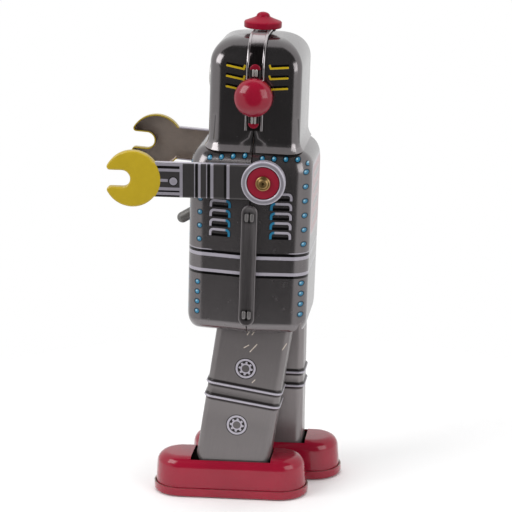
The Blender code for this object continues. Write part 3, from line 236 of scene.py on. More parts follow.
def box_grid(low, high):
    """A plain block as one ring of four sides with two ends."""
    (x0, y0, z0), (x1, y1, z1) = low, high
    ring = np.array([(x0, y0), (x1, y0), (x1, y1), (x0, y1)], float)
    grid = np.stack([np.concatenate([ring, np.full((4, 1), z)], 1) for z in (z0, z1)])
    return grid, True, True, True


def cutter(matrix, low, high, mirror=1):
    """A block that cuts an opening."""
    return mesh_of("cut", [box_grid(low, high)], matrix, mirror)


def mesh_of(name, surfaces, matrix, mirror=1, inner=()):
    """One mesh from several grids of points, merged where they meet, faces outwards."""
    points, faces, slots, start = [], [], [], 0
    for index, (grid, wrap, first, last) in enumerate(surfaces):
        rows, cols = grid.shape[:2]
        r = np.arange(rows - 1)[:, None]
        c = np.arange(cols if wrap else cols - 1)[None, :]
        n = (c + 1) % cols
        quads = np.stack(np.broadcast_arrays(r * cols + c, r * cols + n, (r + 1) * cols + n,
                                             (r + 1) * cols + c), -1).reshape(-1, 4) + start
        made = quads.tolist()
        if first:
            made.append(list(range(start + cols - 1, start - 1, -1)))
        if last:
            made.append(list(range(start + (rows - 1) * cols, start + rows * cols)))
        points.append(grid.reshape(-1, 3))
        faces += made
        slots += [1 if index in inner else 0] * len(made)
        start += rows * cols
    points = np.concatenate(points) * (mirror, 1, 1)
    turn = np.array(matrix)
    points = points @ turn[:3, :3].T + turn[:3, 3]
    mesh = bpy.data.meshes.new(name)
    mesh.from_pydata(points.tolist(), [], faces)
    mesh.polygons.foreach_set("material_index", slots)
    shape = bmesh.new()
    shape.from_mesh(mesh)
    bmesh.ops.remove_doubles(shape, verts=shape.verts, dist=2e-6)
    bmesh.ops.dissolve_degenerate(shape, edges=shape.edges, dist=1e-7)
    bmesh.ops.recalc_face_normals(shape, faces=shape.faces)
    middle = Vector(points.mean(0))
    outward = sum(face.calc_area() * face.normal.dot(face.calc_center_median() - middle)
                  for face in shape.faces)
    if outward < 0:
        bmesh.ops.reverse_faces(shape, faces=shape.faces)
    shape.to_mesh(mesh)
    shape.free()
    return mesh


def baked(thing):
    """The object with its modifiers applied."""
    bpy.context.view_layer.update()
    graph = bpy.context.evaluated_depsgraph_get()
    mesh = bpy.data.meshes.new_from_object(thing.evaluated_get(graph))
    thing.modifiers.clear()
    thing.data = mesh
    return thing


def piece(name, mesh, body, materials, nodes=(), wall=0.0, cutters=(), sharp=35):
    """A finished piece: walled inwards, cut, shaded, dressed and riding on its body."""
    thing = bpy.data.objects.new(name, mesh)
    bpy.context.scene.collection.objects.link(thing)
    for material in materials:
        mesh.materials.append(material)
    if wall:
        solidify = thing.modifiers.new("wall", "SOLIDIFY")
        solidify.thickness = wall * MM
        solidify.offset = -1.0
        solidify.material_offset = len(materials) - 1
        solidify.material_offset_rim = len(materials) - 1
        baked(thing)
    for shape in cutters:
        tool = bpy.data.objects.new("cutter", shape)
        bpy.context.scene.collection.objects.link(tool)
        boolean = thing.modifiers.new("cut", "BOOLEAN")
        boolean.object = tool
        boolean.solver = "EXACT"
        baked(thing)
        bpy.data.objects.remove(tool)
    thing.data.shade_smooth()
    thing.data.set_sharp_from_angle(angle=math.radians(sharp))
    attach(thing, body)
    if nodes:
        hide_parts(*nodes)
    return thing


# ------------------------------------------------------------------ shader maths

class Wire:
    """A socket on which Python's operators add the Math node of the same meaning."""

    def __init__(self, shader, socket):
        self.shader, self.socket = shader, socket

    def math(self, operation, *others, clamp=False):
        return self.shader.node("ShaderNodeMath", {"operation": operation, "use_clamp": clamp},
                                dict(enumerate((self, *others))))

    def __add__(self, other):
        return self.math("ADD", other)

    __radd__ = __add__

    def __mul__(self, other):
        return self.math("MULTIPLY", other)

    __rmul__ = __mul__

    def __sub__(self, other):
        return self.math("SUBTRACT", other)

    def __rsub__(self, other):
        return self.shader.value("SUBTRACT", other, self)

    def __truediv__(self, other):
        return self.math("DIVIDE", other)

    def __abs__(self):
        return self.math("ABSOLUTE")

    def __neg__(self):
        return self * -1.0

    def over(self, other):
        """The larger of two values."""
        return self.math("MAXIMUM", other)

    def under(self, other):
        """The smaller of two values."""
        return self.math("MINIMUM", other)

    def above(self, edge, soft=0.08):
        """1 past an edge, 0 before it, soft in between."""
        return self.math("MULTIPLY_ADD", 1 / soft, 0.5 - edge / soft, clamp=True)

    def below(self, edge, soft=0.08):
        return self.math("MULTIPLY_ADD", -1 / soft, 0.5 + edge / soft, clamp=True)

    def band(self, low, high, soft=0.08):
        """1 between two values."""
        return abs(self - (low + high) / 2).below((high - low) / 2, soft)

    def mirrored(self, low, step, count):
        """Offset from the nearest of count marks that stand a step apart from low upwards."""
        index = ((self - low) / step).math("ROUND").under(count - 1.0).over(0.0)
        return self - low - index * step


class Graph:
    """A node tree of a material or a world, emptied."""

    def __init__(self, owner):
        owner.use_nodes = True
        self.tree = owner.node_tree
        self.tree.nodes.clear()

    def node(self, kind, settings=None, inputs=None, output=0):
        """Adds a node: its settings first, then the values or links of its sockets."""
        made = self.tree.nodes.new(kind)
        for key, value in (settings or {}).items():
            setattr(made, key, value)
        for key, value in (inputs or {}).items():
            if isinstance(value, Wire):
                self.tree.links.new(value.socket, made.inputs[key])
            else:
                made.inputs[key].default_value = value
        return Wire(self, made.outputs[output]) if made.outputs else None

    def outputs(self, kind, source=None, keys=(0, 1, 2)):
        """Several outputs of a new node, whose first socket takes the source."""
        made = self.node(kind, inputs={} if source is None else {0: source}).socket.node
        return [Wire(self, made.outputs[key]) for key in keys]

    def value(self, operation, first, second):
        return self.node("ShaderNodeMath", {"operation": operation}, {0: first, 1: second})


class Shader(Graph):
    """A material under construction, with coordinates in a frame's millimetres."""

    def __init__(self, name, matrix=None):
        self.material = bpy.data.materials.new(name)
        super().__init__(self.material)
        matrix = matrix or TRUNK
        self.at = self.node("ShaderNodeMapping", {"vector_type": "TEXTURE"}, {
            "Vector": self.node("ShaderNodeTexCoord", output="Object"), "Location": matrix.translation,
            "Rotation": matrix.to_euler(), "Scale": (MM, MM, MM)})
        self.x, self.u, self.w = self.outputs("ShaderNodeSeparateXYZ", self.at)
        self.colour = None

    def mix(self, factor, first, second):
        """Colour first where factor is 0 and second where it is 1."""
        pair = [(*c, 1.0) if isinstance(c, tuple) else c for c in (first, second)]
        return self.node("ShaderNodeMix", {"data_type": "RGBA", "clamp_factor": True},
                         {0: factor, 6: pair[0], 7: pair[1]}, 2)

    def noise(self, scale, detail=3.0, stretch=(1, 1, 1), roughness=0.55):
        """Smooth noise about 0.5, its scale in cycles per millimetre."""
        vector = self.node("ShaderNodeVectorMath", {"operation": "MULTIPLY"}, {0: self.at, 1: stretch})
        return self.node("ShaderNodeTexNoise", {"normalize": True}, {
            "Vector": vector, "Scale": scale, "Detail": detail, "Roughness": roughness})

    def reach(self, a, b):
        """Length of the vector (a, b)."""
        vector = self.node("ShaderNodeCombineXYZ", inputs={0: a, 1: b})
        return self.node("ShaderNodeVectorMath", {"operation": "LENGTH"}, {0: vector}, "Value")

    def disc(self, a, b, at=(0.0, 0.0)):
        """Distance of the point (a, b) from a place."""
        return self.reach(a - at[0], b - at[1])

    def box(self, a, b, at, half, radius):
        """Signed distance from a rounded box: |max(q, 0)| + min(max(q), 0) - r, q = |p| - half + r."""
        qa = abs(a - at[0]) - (half[0] - radius)
        qb = abs(b - at[1]) - (half[1] - radius)
        return self.reach(qa.over(0.0), qb.over(0.0)) + qa.over(qb).under(0.0) - radius

    def stroke(self, a, b, start, end):
        """Distance from a straight stroke: |p - start - t d|, t = p.d / d.d held within 0 and 1."""
        da, db = end[0] - start[0], end[1] - start[1]
        square = da * da + db * db
        pa, pb = a - start[0], b - start[1]
        t = (pa * (da / square) + pb * (db / square)).math("MULTIPLY", 1.0, clamp=True)
        return self.reach(pa - t * da, pb - t * db)

    def lay(self, mask, ink):
        """Lays an ink over the colour so far where the mask is 1."""
        self.colour = self.mix(mask, self.colour, ink)

    def lay_within(self, area, *prints):
        """Lays each (mask, ink) in turn where the area is 1 too."""
        for mask, ink in prints:
            self.lay(area * mask, ink)

    def finish(self, roughness, metallic, bump, depth, coat=0.0, coat_roughness=0.03, specular=0.5):
        """Principled surface in the colour so far, with a bump from a height in 0 to 1."""
        normal = self.node("ShaderNodeBump", inputs={"Height": bump, "Strength": 1.0, "Distance": depth})
        surface = self.node("ShaderNodeBsdfPrincipled", inputs={
            "Base Color": self.colour, "Roughness": roughness, "Metallic": metallic, "Normal": normal,
            "Coat Weight": coat, "Coat Roughness": coat_roughness, "Specular IOR Level": specular})
        self.node("ShaderNodeOutputMaterial", inputs={"Surface": surface})
        return self.material


def inks(context, *keys):
    """The named colours."""
    return [tuple(getattr(context.scene.tin_robot_colours, key)) for key in keys]


def tinted(colour, share):
    return tuple(min(1.0, c * share) for c in colour)


# ------------------------------------------------------------------ finishes

# Colour or its name, roughness, grain along x, u and w, tarnish
METALS = {
    "bare_tinplate": ("bare", 0.34, (0.3, 2.0, 2.0), 0.5),
    "bright_tin": ("bright", 0.12, (0.4, 2.5, 2.5), 0.2),
    "dull_tin": ((0.40, 0.38, 0.38), 0.3, (1.0, 1.0, 1.0), 0.25),
    "brass": ("brass", 0.27, (1.0, 1.0, 1.0), 0.5),
    "steel": ((0.46, 0.46, 0.47), 0.3, (2.0, 0.4, 2.0), 0.35),
    "nickel": ((0.56, 0.54, 0.52), 0.2, (1.5, 0.5, 1.5), 0.3),
    "blued_steel": ((0.10, 0.12, 0.19), 0.25, (0.5, 2.0, 2.0), 0.3),
}


def ground(s, base, streak=0.1):
    """Ground print: slow cloudiness, and fine upright grain of the tin under the ink."""
    grain = s.noise(1.1, 2.0, (2.2, 2.2, 0.12))
    cloud = s.noise(0.05, 2.0)
    tone = s.mix(grain.above(0.5, 0.5), tinted(base, 1 - streak), tinted(base, 1 + streak))
    s.colour = s.mix(cloud.above(0.55, 0.35) * 0.35, tone, tinted(base, 1.2))


def printed(s, roughness=0.2, metallic=0.88, coat=0.5):
    """Varnished print: the dark ground lets the tin shine through, light inks cover it."""
    red, green, blue = s.outputs("ShaderNodeSeparateColor", s.colour)
    ink = red.over(green).over(blue).above(0.27, 0.06)
    rub = s.noise(0.35, 4.0)
    rough = roughness + s.noise(0.6, 3.0).above(0.5, 0.6) * 0.05 + rub.above(0.68, 0.1) * 0.1
    bump = s.noise(2.6, 2.0) * 0.15 + s.noise(0.22, 1.0) * 0.85
    return s.finish(rough, metallic - ink * (metallic * 0.85), bump, 0.000012, coat, 0.08)


def rivets(s, teal, lines):
    """Printed rivets: teal discs with a pale upper left and a dark rim, in rows of a given slope."""
    for along_w, fixed, slope, low, step, count in lines:
        a, b = (s.u, s.w) if along_w else (s.w, s.u)
        off = b.mirrored(low, step, count)
        a = a - fixed - (b - low) * slope
        far = s.reach(a, off) + abs(s.x).below(18.5) * 9.0
        s.lay(far.below(1.2, 0.3), tinted(teal, 0.1))
        s.lay(far.below(0.86, 0.16), teal)
        glint = s.reach(a + (0.25 if along_w else -0.25), off - (0.25 if along_w else -0.25))
        s.lay(glint.below(0.34, 0.25) * 0.85, (0.40, 0.66, 0.78))


def body_print(context):
    """Louvres, rivets and belt lines with a painted highlight on the belt's edge near the corners, a panel of
    gauges in front and a red plate behind.
    """
    s = Shader("printed_body")
    base, pale, black = inks(context, "gunmetal", "pale", "black")
    teal, red, mustard = inks(context, "teal", "red", "mustard")
    ground(s, base)
    for middle, handed in ((-17.0, 1.0), (7.2, -1.0)):
        a = s.u - middle
        b = s.w.mirrored(20.37, 3.9, 5) - 1.5
        louvre = s.box(a, b, (0.0, -2.7), (4.3, 2.85), 1.8)
        inside = (louvre + 1.0).below(0.0, 0.12)
        edge = s.mix((a * handed).above(2.3, 0.5), pale, teal)
        hood = louvre.below(0.0, 0.12) * b.above(-3.0, 0.12)
        s.lay(louvre.below(0.3, 0.35) * b.above(-3.1, 0.3) * 0.6, black)
        s.lay(hood, edge)
        s.lay(inside * b.above(-3.0, 0.12), tinted(base, 0.75))
        s.lay(inside * b.band(-3.05, -2.0, 0.25), black)
    rivets(s, teal, [
        (True, -25.2, 0.0, 17.0, 5.5, 6), (True, -25.5, 0.0, -12.9, 4.07, 4),
        (True, 16.3, 0.0, 16.8, 5.85, 6), (True, 16.0, 0.0, -12.1, 4.3, 4),
        (False, 50.1, 0.11, -21.9, 4.65, 4), (False, 50.9, 0.0, -1.0, 4.6, 4),
        (False, 49.3, 0.0, 16.9, 4.6, 1)])

    panel = s.box(s.x, s.w, (0.0, 30.0), (15.5, 12.5), 3.0)
    across = abs(s.x)
    gauge = s.disc(across, s.w, (8.8, 35.6))
    needle = s.stroke(across, s.w, (8.8, 35.0), (6.9, 37.3))
    lamp = s.disc(across.mirrored(4.6, 4.2, 3), s.w, (0.0, 22.6))
    stud = s.reach(across - 17.8, s.w.mirrored(-12.0, 5.9, 11))
    front = s.u.below(-26.4, 0.3)
    s.lay_within(front, (panel.band(-0.9, 0.0), pale), (panel.below(-0.9), tinted(black, 2.5)),
                 (gauge.below(4.2), pale), (gauge.below(3.4), (0.62, 0.58, 0.5)),
                 (needle.below(0.28), red), (gauge.below(0.6), black),
                 (lamp.below(1.35), pale), (lamp.below(0.95), mustard))
    s.lay_within(front * abs(s.w - 7.75).above(5.4), (stud.below(1.15, 0.25), tinted(teal, 0.12)),
                 (stud.below(0.86, 0.16), teal))

    plate = s.box(s.x, s.w, (0.0, 33.0), (17.0, 15.0), 4.0)
    bars = s.box(s.x, s.w.mirrored(24.0, 6.0, 4), (0.0, 0.0), (10.5, 1.5), 1.4)
    s.lay_within(s.u.above(17.2, 0.3), (plate.band(-1.0, 0.0), pale), (plate.below(-1.0), red),
                 (bars.below(0.0), black), (bars.band(-0.5, 0.0), pale))

    # Painted highlight: a thin pale line along the belt near the front and rear corners, where the raised
    # belt's edge catches the light.
    ends = abs(s.u + 4.6).above(15.5, 3.0)
    s.lay(s.w.band(12.75, 13.35) * ends * 0.8, pale)
    for low, high, ink in ((11.75, 12.9, black), (10.35, 11.75, pale),
                           (3.85, 5.15, pale), (2.8, 3.85, black)):
        s.lay(s.w.band(low, high), ink)
    return printed(s)


def head_print(context):
    """Gold cheek strokes, painted highlights and painted shade at the seam below the band and along the
    creases towards the neck, a painted highlight along the flared neck edge, and a face of two eyes and a
    mouth grille.
    """
    s = Shader("printed_head")
    base, pale, black, red, mustard = inks(context, "gunmetal", "pale", "black", "red", "mustard")
    ground(s, tinted(base, 0.95), 0.05)
    b = s.w.mirrored(77.9, 4.12, 3)
    gold = tinted(mustard, 1.15)
    for start, end, hook in (((-16.2, 0.6), (-9.6, -0.55), (-9.3, 0.75)),
                             ((7.6, 0.75), (0.9, 0.1), (0.5, 1.2))):
        shadow = s.stroke(s.u, b, (start[0], start[1] + 0.75), (end[0], end[1] + 0.85))
        s.lay(shadow.below(0.45, 0.3), black)
        line = s.stroke(s.u, b, start, end).under(s.stroke(s.u, b, end, hook))
        s.lay(line.below(0.40, 0.14), gold)

    # Painted light and shade on the head's ground. The light colour is laid as highlights on the flared seam
    # edges, the creases and the neck. The dark colour is laid as shade in the seam notch and the creases.
    light, dark = tinted(base, 1.75), tinted(base, 0.12)
    # Painted highlights sweep down the flared seam edges below the band, and painted shade lies in the notch
    # beside the seam.
    for sign in (1, -1):
        off = (s.u - SEAM) * sign
        seam_highlight = s.stroke(off, s.w, (0.9, 61.6), (1.9, 58.4)).under(
            s.stroke(off, s.w, (1.9, 58.4), (4.6, 56.4)))
        shade = off.above(0.0) * (off + (s.w - 60.5) * 0.12).below(0.3, 0.3) * s.w.below(60.5, 0.5)
        s.lay(seam_highlight.below(0.8, 1.5) * 0.75, light)
        s.lay(shade * 0.8, dark)
    # Painted highlight beside each crease towards the neck, and painted shade in the crease itself.
    for u, turn in ((-20.4, -0.5), (12.2, 0.6)):
        crease_shading = s.stroke(s.u, s.w, (u, 66.5), (u + turn, 57.0))
        s.lay(crease_shading.below(0.8, 1.6) * 0.3, light)
        s.lay(crease_shading.below(0.16, 0.35) * 0.85, dark)
    # Painted highlight: a light band along the head's flared lower edge, where it catches the light from
    # above.
    s.lay(s.w.below(56.0, 1.8) * 0.75, light)

    eye = s.disc(abs(s.x), s.w, (8.2, 81.0))
    mouth = s.box(s.x, s.w, (0.0, 66.5), (9.0, 3.6), 1.6)
    teeth = abs(s.x.mirrored(-7.5, 3.0, 6))
    s.lay_within(s.u.below(-20.0, 0.3), (eye.below(4.6), black), (eye.below(3.9), mustard),
                 (eye.below(1.5), black), (mouth.below(0.8), pale), (mouth.below(0.0), red),
                 (mouth.below(-0.2) * teeth.below(0.45), black))
    return printed(s, 0.16, 0.96)


def leg_print(context, side):
    """Two dials, dark lines along the beads, the scratches of the near leg, and a lighter ground on the far
    leg as a painted highlight.
    """
    s = Shader(f"printed_leg_{side}", LEGS[side])
    base, pale, black = inks(context, "leg_grey", "pale", "black")
    # Painted highlight: the far (right) leg's ground is a lighter copy of the same grey, for the light that
    # falls on it.
    base = base if side == "left" else tinted(base, 1.35)
    ground(s, base, 0.035)
    across = abs(abs(s.x) - 13.0).above(6.6, 0.2)
    for p, q in DIALS:
        far = s.disc(s.u, s.w, (p, q))
        turn = s.value("ARCTAN2", s.w - q, s.u - p)
        wedge = turn.mirrored(-math.pi, math.pi / 4, 9)
        bolt = s.reach(far * wedge.math("COSINE") - 2.45, far * wedge.math("SINE"))
        s.lay_within(across, (far.below(4.45, 0.2), tinted(black, 4.0)), (far.band(3.25, 4.1), pale),
                     (far.band(1.55, 2.15), pale), (bolt.below(0.47, 0.12), pale),
                     (far.below(1.45, 0.15), tinted(base, 0.75)))
    for bead in BEADS:
        off = abs(s.w - bead)
        s.lay(off.below(1.5, 0.5), tinted(black, 5.0))
        s.lay(off.below(0.45, 0.4), tinted(pale, 1.1))
    if side == "left":
        for start, end in (((-2.2, -22.6), (-0.8, -19.8)), ((-0.3, -22.3), (1.3, -19.2)),
                           ((-2.6, -28.2), (-0.9, -26.8)), ((0.0, -29.5), (2.3, -25.9)),
                           ((12.8, -26.2), (14.0, -23.5)), ((3.0, -42.1), (3.9, -40.7))):
            scratch = s.stroke(s.u, s.w, start, end)
            ragged = scratch + (s.noise(2.2, 2.0) - 0.5) * 0.25
            s.lay(across * ragged.below(0.16, 0.12) * 0.8, (0.72, 0.62, 0.52))
    s.lay(s.noise(1.4, 1.0).above(0.80, 0.03) * 0.5, tinted(base, 1.8))
    return printed(s, 0.33, 0.6, 0.25)


def arm_print(context, side):
    """Cuff lines and a wrist panel on a dark bar, a yellow claw and a red shoulder."""
    s = Shader(f"printed_arm_{side}", ARMS[side])
    z = sizes(context)
    base, pale, black, red, mustard = inks(context, "gunmetal", "pale", "black", "red", "mustard")
    f, h = -s.u, s.w
    ground(s, tinted(base, 0.33))
    panel = f.above(31.7)
    rows = h.band(5.75, 6.75).over(h.band(3.5, 4.65)).over(h.band(-4.05, -2.85)).over(h.band(-5.9, -4.75))
    post = f.band(31.7, 32.9) * abs(h).below(6.75)
    dark = h.band(4.65, 5.75).over(h.band(-4.75, -4.05)).over(h.below(-5.9))
    s.lay(panel * dark, black)
    s.lay(panel * rows.over(post), pale)
    s.lay(f.band(37.6, 41.5) * h.band(-0.65, 0.5), pale)
    stud = s.disc(f, h, (35.4, -0.35))
    s.lay(stud.below(1.9, 0.2), black)
    s.lay(stud.below(1.55, 0.12), tinted(pale, 1.15))
    s.lay(s.disc(f, h, (35.3, -0.45)).below(0.9, 0.3) * 0.35, tinted(pale, 0.7))
    for low, high, ink in ((25.7, 26.8, black), (20.8, 22.0, black), (14.45, 15.4, black),
                           (26.8, 27.15, pale), (24.6, 25.6, pale), (22.05, 22.4, pale),
                           (19.55, 20.75, pale), (13.2, 14.35, pale)):
        s.lay(f.band(low, high, 0.1), ink)
    shade = s.noise(0.5, 4.0)
    claw = s.disc(f, h, (z.arm_reach, 0.0)).below(z.claw + 0.25, 0.15) * f.above(35.0)
    far = s.disc(f, h)
    lip = s.mix(claw, tinted(pale, 1.3), tinted(mustard, 0.85))
    s.lay(claw, s.mix(shade.above(0.5, 0.6), tinted(mustard, 0.95), tinted(mustard, 1.04)))
    for radius, ink in ((z.shoulder, pale), (6.55, tinted(red, 0.35)), (6.2, red)):
        s.lay(far.below(radius), ink)
    s.colour = s.mix((abs(s.x) - z.arm_face).above(-0.75, 0.3), lip, s.colour)
    bare = 0.5 - 0.5 * claw.over(far.below(6.2))
    return s.finish(0.3 + s.noise(0.5, 3.0) * 0.12, bare, s.noise(0.5, 2.0), 0.000012, 0.3, 0.1)


def enamel(context, name, key, roughness=0.17, coat=0.5, specular=0.3):
    """Glossy enamel with orange peel, a deeper tone in patches, and small chips."""
    s = Shader(name)
    base, = inks(context, key)
    s.colour = s.mix(s.noise(0.07, 2.0).above(0.5, 0.5), tinted(base, 0.88), tinted(base, 1.1))
    s.lay(s.noise(0.8, 3.0).above(0.79, 0.02) * 0.35, tinted(base, 0.35))
    rough = roughness + s.noise(0.5, 3.0) * 0.08
    return s.finish(rough, 0.0, s.noise(0.9, 2.0), 0.00003, coat, 0.06, specular)


def made(name, maker, *arguments):
    """The named finish, made once."""
    return bpy.data.materials.get(name) or maker(*arguments)


def metal(context, name):
    """Bare metal, made once: grain along one direction, with duller, darker patches."""
    if name in bpy.data.materials:
        return bpy.data.materials[name]
    base, roughness, streak, tarnish = METALS[name]
    if isinstance(base, str):
        base, = inks(context, base)
    s = Shader(name)
    grain = s.noise(1.5, 3.0, streak)
    cloud = s.noise(0.12, 4.0).above(0.52, 0.3)
    s.colour = s.mix(grain.above(0.5, 0.6), tinted(base, 0.82), tinted(base, 1.12))
    s.lay(cloud * tarnish, tinted(base, 0.45))
    return s.finish(roughness + grain * 0.1 + cloud * 0.12, 1.0, grain, 0.00001)


def band_metal(context):
    """Polished tin, with a painted dark reflection below the arch, where the rolled lips are kept lighter as
    painted highlights.
    """
    s = Shader("band_metal")
    base, = inks(context, "bright")
    lip = abs(s.u - SEAM).above(2.75, 0.35)
    low = s.w.below(95.5, 3.0)
    grain = s.noise(1.2, 2.0, (0.4, 2.5, 0.1))
    # Painted reflection: the dark surroundings seen in the lower band are painted into its colour, and the
    # lips there stay lighter as painted highlights.
    dark_reflection = s.mix(grain.above(0.5, 0.4), (0.055, 0.046, 0.048), (0.11, 0.095, 0.095))
    s.colour = s.mix(grain.above(0.5, 0.6), tinted(base, 0.86), tinted(base, 0.98))
    s.lay(low, s.mix(lip, dark_reflection, tinted(base, 0.75)))
    return s.finish(0.1 + grain * 0.04, low * 0.45 + 0.55, grain, 0.000003)


def bar_finish(context):
    """Red enamel on the round ends of an ear bar, and the tin between them painted dark as a painted dark
    reflection.
    """
    s = Shader("ear_bar")
    red, = inks(context, "red")
    shade = s.noise(0.6, 3.0)
    ends = abs(s.w - EAR[1]).above(10.6, 0.3)
    # Painted reflection: the tin between the red ends is given a dark colour for the dark surroundings it
    # reflects.
    s.colour = s.mix(shade.above(0.5, 0.4), (0.05, 0.04, 0.04), (0.11, 0.09, 0.09))
    s.lay(ends, s.mix(shade.above(0.5, 0.5), tinted(red, 0.6), tinted(red, 0.9)))
    return s.finish(0.2 + shade * 0.05, 0.9 - ends * 0.9, shade, 0.00001)


def rivet_finish(context):
    """Brass rivet head with a dark spiral in its hollow, and painted shade as a dark spot at its middle."""
    s = Shader("rivet_brass")
    base, = inks(context, "brass")
    far = s.disc(s.u, s.w, SHOULDER)
    turn = s.value("ARCTAN2", s.w - SHOULDER[1], s.u - SHOULDER[0])
    groove = ((far * 6.0 + turn).math("SINE") * 0.5 + 0.5) * far.below(1.9, 0.3)
    s.colour = s.mix(groove, tinted(base, 0.95), tinted(base, 0.4))
    # Painted shade: a dark spot at the bottom of the rivet's hollow.
    s.lay(far.below(0.45, 0.3) * 0.85, tinted(base, 0.12))
    return s.finish(0.3 + groove * 0.15, 1.0, s.noise(1.5, 2.0), 0.00001)


def strip_metal(context):
    """Varnished grey strip with painted highlights along its raised edges, painted shade round the tabs in
    its recessed ends, black slits, and a grain down its length.
    """
    s = Shader("strip_metal")
    base, black = inks(context, "gunmetal", "black")
    ground(s, tinted(base, 0.72), 0.15)
    rim = s.box(s.u, s.w, STRIP_MIDDLE, (3.2, STRIP_HALF), 3.0)
    # Painted highlight: a lighter band along the strip's raised edges.
    s.lay(rim.above(-0.85, 0.3), tinted(base, 1.1))
    for height in STRIP_TABS:
        far = s.box(s.u, s.w, (SEAM, height), (2.2, 2.3), 1.2)
        slit = s.box(s.u, s.w, (SEAM, height), (0.3, 2.2), 0.2)
        # Painted shade in the recess round each pair of tabs. The slit itself is black.
        s.lay(far.below(0.2, 0.8) * 0.8, tinted(base, 0.3))
        s.lay(slit.below(0.0), black)
    return printed(s, 0.27, 0.8, 0.3)


def ring_finish(context, side):
    """Lilac print on the raised shoulder ring, paler along its edges."""
    s = Shader(f"ring_{side}", ARMS[side])
    pale, = inks(context, "pale")
    edge = abs(s.disc(s.u, s.w) - 7.6).above(0.62, 0.25)
    s.colour = s.mix(edge, tinted(pale, 0.62), tinted(pale, 1.15))
    return printed(s, 0.28, 0.45, 0.3)


# ------------------------------------------------------------------ pieces

def body_half(z, full, direction):
    """Drawn tray: each section is a rounded box that shrinks by the draft and the edge fillets."""
    seam = z.gap / 2 + z.tin * math.sin(BODY_DRAFT)
    depth = np.concatenate([[seam], np.linspace(seam, full - BODY_FILLETS["high"], 6)[1:-1],
                            rounding(full, BODY_FILLETS["high"], 20)])
    side, high, low = (drawn_in(depth, full, BODY_FILLETS[key]) for key in ("side", "high", "low"))
    outline = rounded_box(z.body_half - depth * math.tan(BODY_DRAFT) - side, BODY_LOW + low,
                          BODY_HIGH - high, BODY_CORNERS["low"] - low / 2, BODY_CORNERS["high"] - high / 2)
    x, w = outline[..., 0], outline[..., 1]
    deep = full + (w - (BODY_LOW + BODY_HIGH) / 2) * math.tan(BODY_SLOPE)
    u = SEAM + direction * (depth / full)[:, None] * deep
    return np.stack([x, u, w], -1), True, False, True


class TINROBOT_OT_body(bpy.types.Operator):
    """Drawn front and rear shells of the body, with the strip over each seam"""
    bl_idname = "tin_robot.body"
    bl_label = "Body"

    def execute(self, context):
        z = sizes(context)
        print_, bare = made("printed_body", body_print, context), metal(context, "bare_tinplate")
        half = z.leg_x + z.leg_width / 2 + 0.6
        openings = [cutter(TRUNK, (-half, -19.0, -22.0), (half, 16.6, -15.7)),
                    mesh_of("cut", [turned([(0, 55), (8, 55), (8, 52), (0, 52)], (0, SEAM, 0), "z")], TRUNK)]
        key_hole = turned([(0, -28), (2.6, -28), (2.6, -15), (0, -15)], (0, *WINDING))
        front_only = [mesh_of("cut", [key_hole], TRUNK),
                      cutter(TRUNK, (-2.55, -31.0, 20.8), (2.55, -26.0, 29.0))]
        for name, full, direction, tools in (("front", z.body_front, -1, openings + front_only),
                                             ("rear", z.body_rear, 1, openings)):
            mesh = mesh_of(f"body_{name}", [body_half(z, full, direction)], TRUNK)
            piece(f"body_{name}", mesh, "trunk", [print_, bare],
                  [f"body_{name}_shell"], z.tin, tools, 40)

        low = z.body_half + z.gap
        t = quarter(7)
        rows = [(0.0, low), *zip(0.55 * (1 - np.cos(t)), low + 0.35 + 0.55 * np.sin(t)),
                (0.9, low + 0.86), (1.2, low + 0.72)]
        strip = stacked(upright(STRIP_HALF, 3.2), rows, STRIP_MIDDLE)
        tabs = [stacked(upright(1.65, 0.75, 8), edge_rows(low + 0.5, low + 1.02, 0.25),
                        (SEAM + shift, height))
                for height in STRIP_TABS for shift in (-1.05, 1.05)]
        grey = made("strip_metal", strip_metal, context)
        for side, sign in SIDES.items():
            piece(f"{side}_strip", mesh_of("strip", [strip], TRUNK, sign), "trunk", [grey],
                  [f"{side}_seam_strip"])
            piece(f"{side}_strip_tabs", mesh_of("tabs", tabs, TRUNK, sign), "trunk",
                  [metal(context, "dull_tin")])
        return {"FINISHED"}


def head_half(z, direction):
    """Half of the head: plan sections with rounded corners, flared and sagging at the neck, closing above."""
    flare = np.linspace(0, 4.0, 10)
    rise = np.concatenate([flare, [16.0, 26.0], rounding(z.head_height, HEAD_FILLETS["side"], 20)])
    side = drawn_in(rise, z.head_height, HEAD_FILLETS["side"])
    part = "front" if direction < 0 else "rear"
    end = drawn_in(rise, z.head_height, HEAD_FILLETS[part])
    spread = 1.5 * np.clip(1 - rise / 4.0, 0, 1) ** 2
    half = z.head_half - side + spread
    depth = (z.head_front if direction < 0 else z.head_rear) - end + spread
    radius = HEAD_CORNERS[part] + spread
    seam = z.gap / 2
    near = np.stack([half, 0 * half + seam], -1)[:, None, :]
    plan = np.concatenate([near, arc((half - radius, depth - radius), radius, 0, QUARTER, 12),
                           arc((radius - half, depth - radius), radius, QUARTER, math.pi, 12),
                           near * (-1, 1)], 1)
    sag = 0.9 * np.clip((abs(plan[..., 0]) - 15.5) / 7.0, 0, 1) * np.clip(1 - rise / 6.0, 0, 1)[:, None]
    height = (HEAD_LOW + rise)[:, None] - sag
    wall = np.stack([plan[..., 0], SEAM + direction * plan[..., 1], height], -1)
    share = np.linspace(1, 0, 9)[1:, None, None]
    top = np.stack([0 * plan[-1, :, 0], 0 * plan[-1, :, 0] + SEAM + direction * seam], -1)
    rim = wall[-1, :, :2]
    crown = top + (rim - top) * share
    lift = HEAD_LOW + z.head_height + HEAD_CROWN * (1 - share ** 2)
    cover = np.concatenate([crown, np.broadcast_to(lift, crown.shape[:2] + (1,))], -1)
    return np.concatenate([wall, cover]), False, False, False


